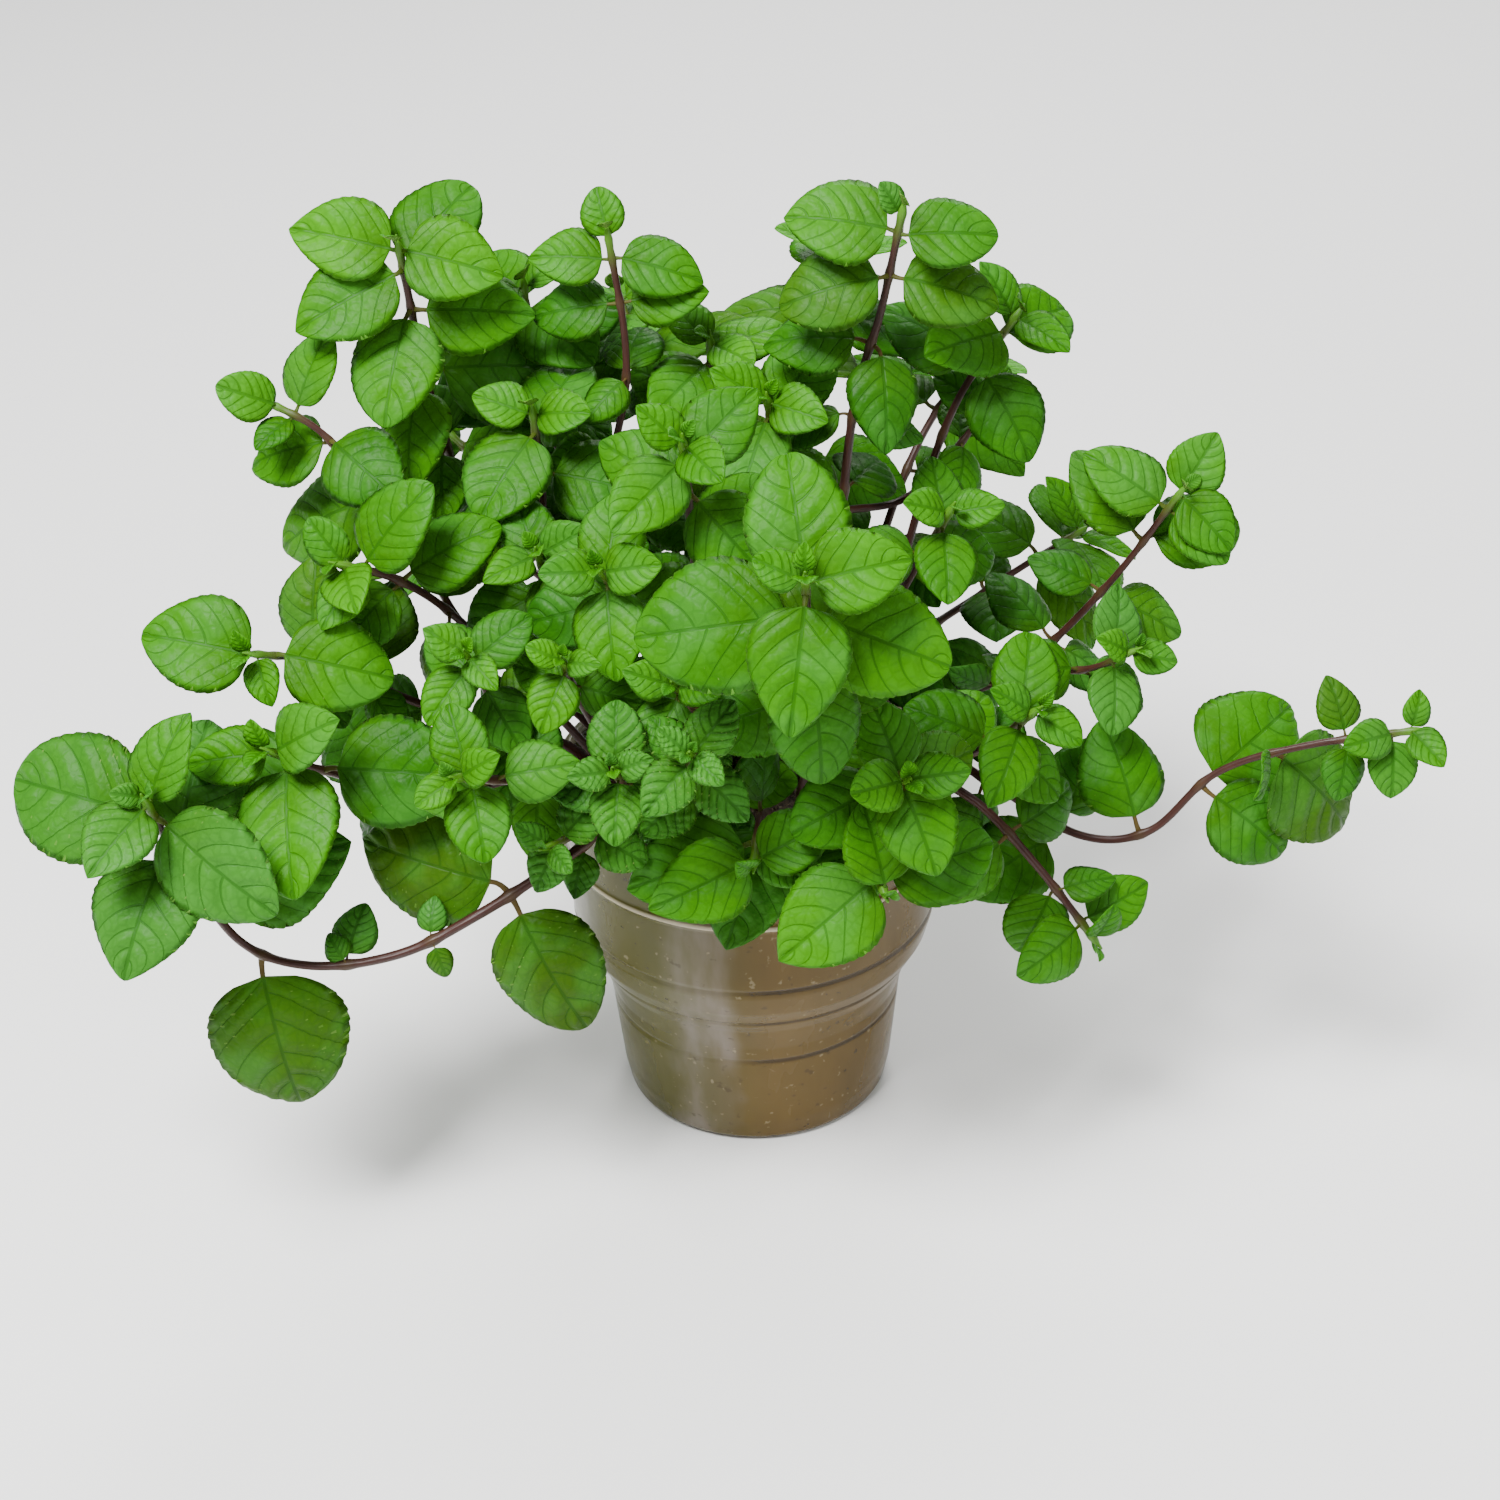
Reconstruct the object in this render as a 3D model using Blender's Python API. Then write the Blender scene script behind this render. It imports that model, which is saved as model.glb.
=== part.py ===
"""Potted peppermint: leafy stems of mint in a tub of soil.

Metres, +Z up, origin at the middle of the tub's flat underside. The tub and the soil are turned about
the Z axis. Each leafy stem is a square mint stem with its side shoots, which carries leaves in
crossed pairs, and all of it is one solid that stands in a hole in the soil. The stems' ways are
chosen by hand. Their leaves are placed by a rule, which turns a leaf until it is clear of the rest,
and leaves it out if no turn is clear.
"""

import math

import bpy
import numpy as np
from mathutils.bvhtree import BVHTree

MM = 0.001

# Driving dimensions of the tub
TUB_HEIGHT = 96.0 * MM
RIM_RADIUS = 50.4 * MM
COLLAR_RADIUS = 48.2 * MM
BODY_RADIUS = 38.8 * MM
BASE_RADIUS = 32.5 * MM
WALL = 1.4 * MM
BEAD_HEIGHT = 77.0 * MM
SHOULDER_HEIGHT = 53.0 * MM
BODY_HEIGHT = 33.0 * MM
TUB_SIDES = 28

# Driving dimensions of the soil and of the square holes in it
SOIL_GAP = 0.4 * MM
SOIL_TOP = 74.0 * MM
SOIL_MOUND = 3.0 * MM
MOUND_SHARE = 0.6
HOLE_DEPTH = 22.0 * MM
HOLE_GAP = 0.6 * MM

# Driving dimensions of the stems, which are square
STEM_RADIUS = 1.5 * MM
SHOOT_RADIUS = 1.15 * MM
TIP_SHARE = 0.6
ROOT_GAP = 0.6 * MM
RING_STEP = 20.0 * MM
SAMPLE_STEP = 1.5 * MM

# Driving dimensions of the leaves: half the thickness of blade and root, width over length, and the
# shares of the length that the stalk and the waves at the edge take
BLADE_HALF = 0.5 * MM
STALK_HALF = 0.9 * MM
LEAF_WIDTH_SHARE = 0.84
STALK_SHARE = 0.12
WAVE_SHARE = 0.018

# Where no leaf grows: near the foot of a shoot and near the tub
BARE_FOOT = 12.0 * MM
BARE_RIM = 3.0 * MM

# How far leaves keep from each other across the blade and at the rim, how far a leaf rises from the
# stem at once, how much it leans out from it at least, and how far drawn in it is for a test
CLEAR_HALF = 0.9 * MM
CLEAR_RIM = 0.4 * MM
ROOT_RISE = 0.15 * MM
LEAST_LEAN = 0.45
SHRUNK = 0.97

# The turns that a leaf tries: their number, the swing that each adds to one side or the other, the
# spread of its other angles at first and what each turn adds to it, in degrees, and what it shrinks
TURNS_TRIED = 60
SWING_STEP = 2.0
SWING_SPREAD = 6.0
ANGLE_SPREAD = 3.0
SPREAD_STEP = 0.3
SHRINK_STEP = 0.007

# The light that the leaves turn to: its shares from outside, from the front and from above, the depth
# at which the front's share begins to fall, where it is nothing, its least, and how far blades turn
OUTSIDE_LIGHT = 0.25
FRONT_LIGHT = 0.9
TOP_LIGHT = 0.8
FRONT_ENDS = 40.0 * MM
FRONT_GONE = 100.0 * MM
LEAST_FRONT = -0.3
LIGHT_TURN = 1.1

# A leaf's form. Of each two values the first is a bud's and the second that of a grown leaf: the share
# of the light in the way it points, its bend in degrees, its cup and its droop. Then how much a grown
# leaf sags, the least share of the stalk, where it starts in the stem, and the spreads of the sizes.
LIGHT_SHARE = (0.55, 0.75)
LEAF_BEND = (16.0, 50.0)
LEAF_CUP = (0.34, 0.06)
LEAF_DROOP = (0.15, 0.65)
LEAF_SAG = 0.16
LEAST_STALK = 0.03
STALK_START = 0.7
BEND_SPREAD = (-12.0, 10.0)
LENGTH_SPREAD = (0.9, 1.08)
WIDTH_SPREAD = (0.92, 1.08)
WAVES = 9.0

# The outline of a leaf: its scale, and how fast it widens from the stalk and narrows to the tip
OUTLINE_SCALE = 2.135
OUTLINE_FOOT = 0.46
OUTLINE_TIP = 0.66

# The leaf pairs of a shoot, from its tip down: distance from the tip, size as a share of the
# shoot's largest leaf, and angle between the leaf and the stem in degrees
PAIR_PLACE = np.array([1.1, 3.8, 8.5, 19.0, 37.0, 56.0, 76.0, 97.0, 118.0, 140.0, 162.0]) * MM
PAIR_SIZE = (0.24, 0.58, 0.90, 1.0, 1.0, 0.97, 0.92, 0.88, 0.84, 0.8, 0.76)
PAIR_ANGLE = (28, 62, 72, 79, 84, 87, 90, 90, 90, 90, 90)
GROWN_PAIR = 4

# Each leafy stem: root on the soil (x, y), the points of its way up to its tip, the length of its
# largest leaf, the turn of its top pair in degrees and its number of pairs; then its side shoots,
# each with the share of the stem's length where it starts, its own points, leaf, turn and pairs.
# All lengths in this table are millimetres.
STEMS = {
    "stem_left_back": (
        (-17, 10), [(-38, 12, 112), (-61, 10, 150), (-73, 10, 188), (-78, 5, 236)], 29, 20, 7, [],
    ),
    "stem_left_upper": (
        (-25, 5), [(-43, 4, 108), (-68, 0, 134), (-79, -6, 162), (-90, -8, 181), (-99, -6, 193),
                   (-112, -3, 200)], 25, 70, 6, [],
    ),
    "stem_left_top": (
        (-7, 13), [(-24, 23, 120), (-42, 25, 164), (-50, 30, 184), (-52, 30, 217)], 26, 80, 6, [],
    ),
    "stem_top_middle": (
        (-6, 4), [(-27, 3, 112), (-37, 1, 154), (-27, 5, 199), (-30, 10, 236)], 20, 35, 7, [],
    ),
    "stem_upper_mid": (
        (-12, -2), [(-30, -7, 118), (-46, -8, 157), (-48, -3, 178), (-49, -3, 198)], 26, 30, 6, [],
    ),
    "stem_centre_back": (
        (2, 6), [(3, 6, 118), (4, 5, 161), (7, 4, 183), (6, -2, 198)], 24, 15, 6, [],
    ),
    "stem_top_pale": (
        (3, 19), [(0, 22, 115), (-6, 20, 165), (-7, 15, 207)], 23, 0, 6, [],
    ),
    "stem_middle": (
        (-2, -11), [(-8, -14, 108), (-11, -24, 152), (-13, -45, 207)], 23, 0, 6,
        [(0.70, [(-25, -38, 160), (-33, -54, 180)], 22, 40, 4)],
    ),
    "stem_front": (
        (7, -20), [(12, -42, 112), (14, -66, 150), (12, -99, 200)], 29, 45, 6, [],
    ),
    "stem_right_top": (
        (13, 8), [(20, 6, 118), (26, 0, 188), (33, -2, 218), (38, -5, 245)], 24, 10, 7,
        [(0.58, [(40, 14, 162), (54, 16, 176), (64, 20, 191)], 15, 50, 4)],
    ),
    "stem_right_inner": (
        (22, 1), [(29, 1, 112), (37, 0, 140), (50, -12, 173)], 20, 60, 6, [],
    ),
    "stem_right": (
        (30, 5), [(40, 6, 106), (54, 7, 109), (72, 5, 121), (90, 0, 145), (106, -5, 173)], 21, 30, 7,
        [(0.55, [(83, -14, 128), (95, -20, 137)], 20, 60, 4)],
    ),
    "stem_far_right": (
        (32, -6), [(41, -11, 106), (58, -22, 102), (80, -31, 91), (97, -35, 94), (112, -35, 110),
                   (131, -40, 120), (159, -45, 127)], 23, 75, 9, [],
    ),
    "stem_right_low": (
        (27, -17), [(37, -25, 106), (53, -37, 106), (68, -47, 93), (84, -53, 72)], 21, 20, 6, [],
    ),
    "stem_front_low": (
        (16, -30), [(19, -43, 105), (24, -62, 116), (30, -86, 110)], 24, 45, 5, [],
    ),
    "stem_left": (
        (-30, -3), [(-46, -7, 106), (-80, -22, 128), (-98, -34, 146), (-115, -46, 156)], 25, 15, 7,
        [(0.42, [(-58, -32, 128), (-63, -60, 163)], 18, 0, 5)],
    ),
    "stem_left_mid": (
        (-23, -9), [(-44, -13, 114), (-67, -16, 145), (-80, -28, 164), (-95, -35, 173)], 26, 50, 6, [],
    ),
    "stem_left_low": (
        (-30, -14), [(-44, -20, 106), (-76, -34, 109), (-98, -50, 126), (-111, -60, 139)], 34, 20, 6, [],
    ),
    "stem_trailing": (
        (-21, -27), [(-27, -38, 106), (-45, -57, 104), (-64, -66, 96), (-83, -70, 88), (-104, -71, 86),
                     (-120, -69, 92), (-130, -70, 114), (-135, -77, 138)], 37, 0, 10, [],
    ),
    "stem_front_left": (
        (-13, -19), [(-28, -36, 110), (-46, -56, 125), (-65, -88, 147)], 19, 45, 6,
        [(0.45, [(-38, -45, 138), (-41, -66, 164)], 15, 20, 4)],
    ),
    "stem_crinkled": (
        (-4, -31), [(-8, -44, 108), (-12, -60, 126), (-13, -90, 153)], 15, 0, 6, [],
    ),
    "stem_crinkled_left": (
        (-12, -32), [(-18, -43, 106), (-27, -59, 122), (-30, -84, 146)], 16, 45, 6,
        [(0.5, [(-36, -62, 116), (-48, -78, 121)], 14, 10, 4)],
    ),
    "stem_left_inner": (
        (-19, -4), [(-30, -8, 110), (-44, -12, 140), (-48, -32, 174)], 22, 60, 6, [],
    ),
    "stem_front_middle": (
        (-4, -22), [(-8, -38, 118), (-13, -54, 143), (-17, -68, 158)], 20, 20, 6, [],
    ),
    "stem_over_rim": (
        (6, -33), [(5, -44, 106), (2, -58, 115), (0, -73, 110)], 33, 60, 4, [],
    ),
    "stem_right_front": (
        (20, -12), [(34, -24, 108), (53, -36, 118), (68, -47, 137)], 22, 35, 6, [],
    ),
    "stem_right_near": (
        (11, -10), [(24, -34, 110), (29, -58, 124), (35, -84, 141)], 22, 80, 6, [],
    ),
}

# The leaves that are set by hand: stem, then pair and side, then the leaf's angle as seen from the
# front in degrees, counter-clockwise from the right, and its length in millimetres. After them come
# the height of that view, how far they tilt towards it and how much each turn adds to that, the share
# of the swing that they take, and the spread of their roll in degrees.
HAND_SET = {
    "stem_trailing": {
        (3, 0): (236, 40), (2, 1): (-42, 33), (4, 0): (30, 34), (5, 1): (-78, 41), (6, 0): (75, 13),
        (6, 1): (120, 8), (7, 0): (-70, 8), (7, 1): (80, 9), (8, 1): (-62, 36), (8, 0): (172, 36),
        (9, 0): (100, 14), (9, 1): (-110, 12),
    },
    "stem_far_right": {
        (1, 0): (45, 15), (1, 1): (-35, 14), (2, 0): (205, 17), (2, 1): (-85, 14), (3, 0): (100, 14),
        (3, 1): (-100, 13), (4, 0): (-52, 34), (5, 0): (40, 34), (5, 1): (-32, 26), (6, 0): (195, 34),
        (6, 1): (98, 26), (7, 0): (-150, 26),
    },
    "stem_right": {
        (1, 0): (62, 17), (1, 1): (-50, 18), (2, 0): (136, 22), (3, 0): (8, 25), (3, 1): (112, 25),
        (4, 0): (-20, 20), (4, 1): (150, 18),
    },
    "stem_right_top": {
        (1, 0): (95, 12), (1, 1): (70, 12), (2, 0): (168, 24), (2, 1): (5, 21), (3, 0): (-8, 24),
        (3, 1): (196, 26), (4, 0): (-92, 27), (4, 1): (178, 23),
    },
    "stem_left_back": {
        (1, 0): (165, 25), (2, 1): (55, 24), (1, 1): (-12, 23), (2, 0): (205, 27), (3, 1): (-110, 31),
        (3, 0): (0, 26), (4, 0): (-8, 31), (5, 0): (-112, 27),
    },
    "stem_left_upper": {
        (1, 0): (150, 18), (2, 0): (195, 15), (3, 1): (185, 23), (4, 0): (205, 30),
    },
    "stem_left_mid": {(2, 0): (220, 20), (3, 1): (215, 19), (1, 0): (150, 17)},
    "stem_left": {
        (1, 0): (163, 27), (2, 1): (80, 17), (1, 1): (-100, 18), (2, 0): (-15, 26), (3, 0): (-60, 16),
        (4, 0): (-50, 15),
    },
    "stem_front": {
        (1, 1): (12, 21), (1, 0): (130, 16), (2, 1): (96, 27), (2, 0): (-94, 28), (3, 1): (186, 33),
        (3, 0): (-24, 29), (4, 0): (60, 27),
    },
    "stem_front_low": {
        (1, 0): (105, 20), (1, 1): (-72, 18), (2, 0): (214, 28), (2, 1): (15, 26), (3, 0): (-112, 24),
        (3, 1): (80, 20),
    },
    "stem_over_rim": {(1, 0): (221, 34), (2, 0): (-40, 14), (2, 1): (196, 30), (3, 0): (-112, 30)},
    "stem_top_middle": {(1, 0): (105, 13), (1, 1): (72, 13), (2, 0): (-15, 20), (2, 1): (170, 18)},
}
SEEN_FROM = math.radians(31)
HAND_TILT = math.radians(8)
TILT_STEP = math.radians(0.8)
HAND_SWING = 0.4
HAND_ROLL = 5.0

# The stems at the back, which lean out evenly: their number, the span of their directions in degrees,
# the reach and height of an upright one and of a low one, the range of their largest leaves, and for
# each third stem in turn the radius of its root and how low it leans. Then the shares of the reach
# and of the rise at the points of their way, their spreads in degrees and in millimetres, and their
# number of pairs. Lengths are millimetres.
BACK_STEMS = 9
BACK_SPAN = (8.0, 160.0)
BACK_REACH = (64.0, 126.0)
BACK_HEIGHT = (218.0, 128.0)
BACK_LEAF = (24.0, 29.0)
BACK_ROOTS = (25.0, 35.0, 31.0)
BACK_LEANS = (0.1, 0.95, 0.5)
BACK_RIM_HEIGHT = 108.0
BACK_FOOT_HEIGHT = 100.0
BACK_SHARES = (0.14, 0.56)
BACK_RISE = 0.72
BACK_TURN_SPREAD = 3.0
BACK_SPREAD = 8.0
BACK_PAIRS = 7
BACK_SEED = 11

BLADE_GREEN = (0.10, 0.30, 0.045, 1.0)
TUB_GREY = (0.42, 0.38, 0.26, 0.6)
SOIL_BROWN = (0.085, 0.06, 0.04, 1.0)


def clear_scene():
    for each in list(bpy.data.objects):
        bpy.data.objects.remove(each, do_unlink=True)


def material(name, colour, roughness):
    made = bpy.data.materials.new(name)
    made.use_nodes = True
    shader = made.node_tree.nodes["Principled BSDF"]
    shader.inputs["Base Color"].default_value = (*colour[:3], 1.0)
    shader.inputs["Alpha"].default_value = colour[3]
    shader.inputs["Roughness"].default_value = roughness
    shader.inputs["Metallic"].default_value = 0.0
    made.diffuse_color = colour
    return made


def add_object(name, points, faces, finish=None):
    mesh = bpy.data.meshes.new(name)
    mesh.from_pydata([tuple(p) for p in points], [], [tuple(f) for f in faces])
    made = bpy.data.objects.new(name, mesh)
    if finish:
        mesh.materials.append(finish)
    bpy.context.scene.collection.objects.link(made)
    return made


def unit(vector):
    return vector / np.linalg.norm(vector)


def lathe(profile, sides=TUB_SIDES):
    """Points and triangles of a closed solid of revolution.

    The profile runs from the axis below, out and up, and back to the axis."""
    angles = np.arange(sides) * 2 * math.pi / sides
    points = [(0.0, 0.0, profile[0][1])]
    for radius, height in profile[1:-1]:
        points += [(radius * math.cos(a), radius * math.sin(a), height) for a in angles]
    points.append((0.0, 0.0, profile[-1][1]))
    faces = []
    top = len(points) - 1
    for i in range(sides):
        j = (i + 1) % sides
        faces.append((0, 1 + j, 1 + i))
        for low in range(1, top - sides, sides):
            faces.append((low + i, low + j, low + sides + j))
            faces.append((low + i, low + sides + j, low + sides + i))
        faces.append((top, top - sides + i, top - sides + j))
    return points, faces


def turned(name, profile, finish):
    """A turned object, smooth but for its sharp edges."""
    made = add_object(name, *lathe(profile), finish)
    made.data.shade_smooth()
    made.data.set_sharp_from_angle(angle=math.radians(40))
    return made


def tub_outside():
    """The tub's outer profile: base, narrow body, shoulder, wide collar with a bead, and rim."""
    return [
        (BASE_RADIUS, 0.0),
        (BASE_RADIUS + 2.6 * MM, 1.4 * MM),
        (BODY_RADIUS - 2.6 * MM, 7.0 * MM),
        (BODY_RADIUS, BODY_HEIGHT),
        (BODY_RADIUS + 2.0 * MM, BODY_HEIGHT + 7.0 * MM),
        (COLLAR_RADIUS - 2.4 * MM, SHOULDER_HEIGHT - 4.0 * MM),
        (COLLAR_RADIUS - 0.8 * MM, SHOULDER_HEIGHT + 2.0 * MM),
        (COLLAR_RADIUS, BEAD_HEIGHT - 1.3 * MM),
        (COLLAR_RADIUS + 1.0 * MM, BEAD_HEIGHT),
        (COLLAR_RADIUS + 0.2 * MM, BEAD_HEIGHT + 1.3 * MM),
        (COLLAR_RADIUS + 0.6 * MM, TUB_HEIGHT - 3.2 * MM),
        (RIM_RADIUS, TUB_HEIGHT - 2.2 * MM),
        (RIM_RADIUS, TUB_HEIGHT - 0.7 * MM),
        (RIM_RADIUS - 0.7 * MM, TUB_HEIGHT),
    ]


def tub_inside():
    """The tub's inner profile from the floor up, one wall inside the outer one."""
    return [
        (BASE_RADIUS + 0.8 * MM, 1.8 * MM),
        (BODY_RADIUS - 2.6 * MM - WALL, 7.2 * MM),
        (BODY_RADIUS - WALL, BODY_HEIGHT + 0.4 * MM),
        (BODY_RADIUS + 1.6 * MM - WALL, BODY_HEIGHT + 7.6 * MM),
        (COLLAR_RADIUS - 2.8 * MM - WALL, SHOULDER_HEIGHT - 3.4 * MM),
        (COLLAR_RADIUS - 0.8 * MM - WALL, SHOULDER_HEIGHT + 2.8 * MM),
        (COLLAR_RADIUS + 0.6 * MM - WALL, TUB_HEIGHT),
    ]


def tub_profile():
    """The tub's whole profile, up its outside and down its inside."""
    inside = tub_inside()
    return [(0, 0.0)] + tub_outside() + inside[::-1] + [(0, inside[0][1])]


def soil_profile():
    """The soil's profile: one gap inside the tub's wall, with a low mound on top."""
    inside = tub_inside()
    heights = [height for _, height in inside]
    radii = [radius for radius, _ in inside]
    top_radius = float(np.interp(SOIL_TOP, heights, radii)) - SOIL_GAP
    floor = heights[0] + SOIL_GAP
    profile = [(0, floor), (radii[0] - SOIL_GAP, floor)]
    profile += [(r - SOIL_GAP, h) for r, h in inside[1:-1]]
    return profile + [
        (top_radius, SOIL_TOP),
        (top_radius * MOUND_SHARE, SOIL_TOP + SOIL_MOUND),
        (0, SOIL_TOP + SOIL_MOUND),
    ]


def make_soil(shoots):
    """The soil in the tub, with a square hole for each stem."""
    soil = turned("soil", soil_profile(), material("potting_soil", SOIL_BROWN, 0.95))
    cutters = bpy.data.collections.new("stem_holes")
    bpy.context.scene.collection.children.link(cutters)
    for shoot in shoots:
        if not shoot["main"]:
            continue
        foot, side, other = shoot["way"].frame(0.0)[0], *shoot["way"].frame(0.0)[2:]
        ring = [foot + (STEM_RADIUS + HOLE_GAP) * way for way in (side, other, -side, -other)]
        points = [(p[0], p[1], SOIL_TOP - HOLE_DEPTH) for p in ring]
        points += [(p[0], p[1], SOIL_TOP + 3 * SOIL_MOUND) for p in ring]
        faces = [(3, 2, 1, 0), (4, 5, 6, 7)] + [(i, (i + 1) % 4, 4 + (i + 1) % 4, 4 + i) for i in range(4)]
        cutter = add_object("hole", points, faces)
        bpy.context.scene.collection.objects.unlink(cutter)
        cutters.objects.link(cutter)
    join(soil, cutters, "DIFFERENCE")


def join(target, others, operation):
    """One Boolean of a collection on the target, applied, with the collection's objects then removed."""
    modifier = target.modifiers.new("together", "BOOLEAN")
    modifier.operation = operation
    modifier.operand_type = "COLLECTION"
    modifier.collection = others
    modifier.solver = "EXACT"
    bpy.context.view_layer.update()
    graph = bpy.context.evaluated_depsgraph_get()
    joined = bpy.data.meshes.new_from_object(target.evaluated_get(graph))
    target.modifiers.clear()
    target.data = joined
    for each in list(others.objects):
        bpy.data.objects.remove(each, do_unlink=True)
    bpy.data.collections.remove(others)


def smooth_way(points):
    """Points a sample step apart on the Catmull-Rom curve through the given ones."""
    points = np.array(points, float)
    ends = [2 * points[0] - points[1], *points, 2 * points[-1] - points[-2]]
    found = [points[0]]
    for a, b, c, d in zip(ends, ends[1:], ends[2:], ends[3:]):
        count = max(1, round(np.linalg.norm(c - b) / SAMPLE_STEP))
        for t in np.arange(1, count + 1) / count:
            found.append(
                0.5 * (2 * b + (c - a) * t + (2 * a - 5 * b + 4 * c - d) * t**2
                       + (3 * b - a - 3 * c + d) * t**3)
            )
    return found


class Way:
    """A stem's middle line with the square section carried along it, read at a distance from its foot."""

    def __init__(self, points, turn):
        self.points = np.array(points)
        runs = np.linalg.norm(np.diff(self.points, axis=0), axis=1)
        self.along = np.concatenate([[0.0], np.cumsum(runs)])
        self.length = self.along[-1]
        self.headings = np.gradient(self.points, axis=0)
        self.headings /= np.linalg.norm(self.headings, axis=1)[:, None]
        side = np.array([math.cos(turn), math.sin(turn), 0.0])
        sides = []
        for heading in self.headings:
            side = unit(side - heading * side.dot(heading))
            sides.append(side)
        self.sides = np.array(sides)

    def frame(self, distance):
        """Place, heading and the two directions of the section's corners."""
        place, heading, side = (
            np.array([np.interp(distance, self.along, rows[:, i]) for i in range(3)])
            for rows in (self.points, self.headings, self.sides)
        )
        heading = unit(heading)
        side = unit(side - heading * side.dot(heading))
        return place, heading, side, np.cross(heading, side)


def stem_radius(shoot, distance):
    """A stem's half diagonal, which narrows towards the tip."""
    return shoot["radius"] * (1 - (1 - TIP_SHARE) * distance / shoot["way"].length)


def ring_of(shoot, distance, extra=0.0):
    place, _, side, other = shoot["way"].frame(distance)
    radius = stem_radius(shoot, distance) + extra
    return [place + radius * way for way in (side, other, -side, -other)]


def leaf_places(shoot):
    """The distances from the foot at which a shoot has its leaf pairs, counted from its tip."""
    found = {}
    for pair in range(shoot["pairs"]):
        distance = shoot["way"].length - PAIR_PLACE[pair]
        if distance < BARE_FOOT:
            break
        place = shoot["way"].frame(distance)[0]
        if place[2] > TUB_HEIGHT + BARE_RIM or math.hypot(place[0], place[1]) > RIM_RADIUS + BARE_RIM:
            found[pair] = distance
    return found


def ring_places(shoot):
    """Where a stem has rings of corners: where it leaves the soil, below and above each leaf pair,
    and evenly between them."""
    length = shoot["way"].length
    found = {0.0, shoot["collar"], length}
    for place in shoot["leaf_places"].values():
        found |= {place - STALK_HALF, min(place + STALK_HALF, length)}
    found = sorted(found)
    places = [found[0]]
    for low, high in zip(found, found[1:]):
        count = max(1, round((high - low) / RING_STEP))
        places += [low + (high - low) * i / count for i in range(1, count + 1)]
    return places


def leaf_outline(u):
    """Half the width of a leaf as a share of its greatest, at a share u of its length."""
    return OUTLINE_SCALE * np.power(u, OUTLINE_FOOT) * np.power(1 - u, OUTLINE_TIP)


def leaf_surface(leaf, u, v, lift=0.0):
    """Points of a leaf's middle surface.

    The midrib is an arc that bends down by leaf["bend"] from stalk to tip. A point lies a share v
    of the half width to its side, raised by the cup, lowered by the droop and waved at the edge.
    """
    length, bend = leaf["length"], leaf["bend"]
    angle = bend * u
    forward = length * np.sin(angle) / bend
    down = -length * (1 - np.cos(angle)) / bend
    half = 0.5 * leaf["width"] * leaf_outline(u)
    rise = leaf["cup"] * np.abs(v) * half - leaf["droop"] * (v * half) ** 2 / leaf["width"]
    rise = rise + leaf["wave"] * v**2 * np.sin(leaf["phase"] + WAVES * u * np.sign(v)) + lift
    return (
        leaf["blade"]
        + np.multiply.outer(forward + rise * np.sin(angle), leaf["along"])
        + np.multiply.outer(v * half, leaf["across"])
        + np.multiply.outer(down + rise * np.cos(angle), leaf["up"])
    )


# A leaf's rim points as shares of the length and of the half width, then its midrib's points
LARGE_LEAF = ((0.05, 0.24, 0.33, 0.56, 0.64, 0.87), (1.0, 1.06, 0.94, 1.07, 0.94, 1.06), (0.3, 0.66))
MEDIUM_LEAF = ((0.07, 0.34, 0.45, 0.78), (1.0, 1.07, 0.95, 1.06), (0.45,))
SMALL_LEAF = ((0.12, 0.42, 0.78), (1.0, 1.03, 1.0), ())
BUD_LEAF = ((0.28, 0.68), (1.0, 1.0), ())


def leaf_pattern(length):
    if length > 27 * MM:
        return LARGE_LEAF
    if length > 13.5 * MM:
        return MEDIUM_LEAF
    if length > 8 * MM:
        return SMALL_LEAF
    return BUD_LEAF


def strip(rim, rib):
    """Triangles between two rows of (point, share) from a common start to a common end."""
    faces = []
    i = j = 0
    while i < len(rim) - 1 or j < len(rib) - 1:
        rim_next = rim[i + 1][1] if i < len(rim) - 1 else 2.0
        rib_next = rib[j + 1][1] if j < len(rib) - 1 else 2.0
        if rim_next <= rib_next:
            faces.append((rib[j][0], rim[i][0], rim[i + 1][0]))
            i += 1
        else:
            faces.append((rib[j][0], rim[i][0], rib[j + 1][0]))
            j += 1
    return [face for face in faces if len(set(face)) == 3]


def leaf_rows(leaf, spread, lift):
    """A leaf's rim to the left, its midrib, its rim to the right and its tip, raised by the lift."""
    stations, reaches, ribs = leaf_pattern(leaf["length"])
    wide = np.array(reaches) + spread / (0.5 * leaf["width"])
    stations, ribs = np.array(stations), np.array(ribs)
    return (
        leaf_surface(leaf, stations, wide, lift),
        leaf_surface(leaf, ribs, np.zeros(len(ribs)), np.full(len(ribs), lift)),
        leaf_surface(leaf, stations, -wide, lift),
        leaf_surface(leaf, np.array([1.0]), np.array([0.0]), lift),
    )


def row(first, shares, start, end):
    """A row of (point, share of the length): the start, the points numbered from first on, the end."""
    return [(start, 0.0)] + [(first + i, share) for i, share in enumerate(shares)] + [(end, 1.0)]


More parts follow.
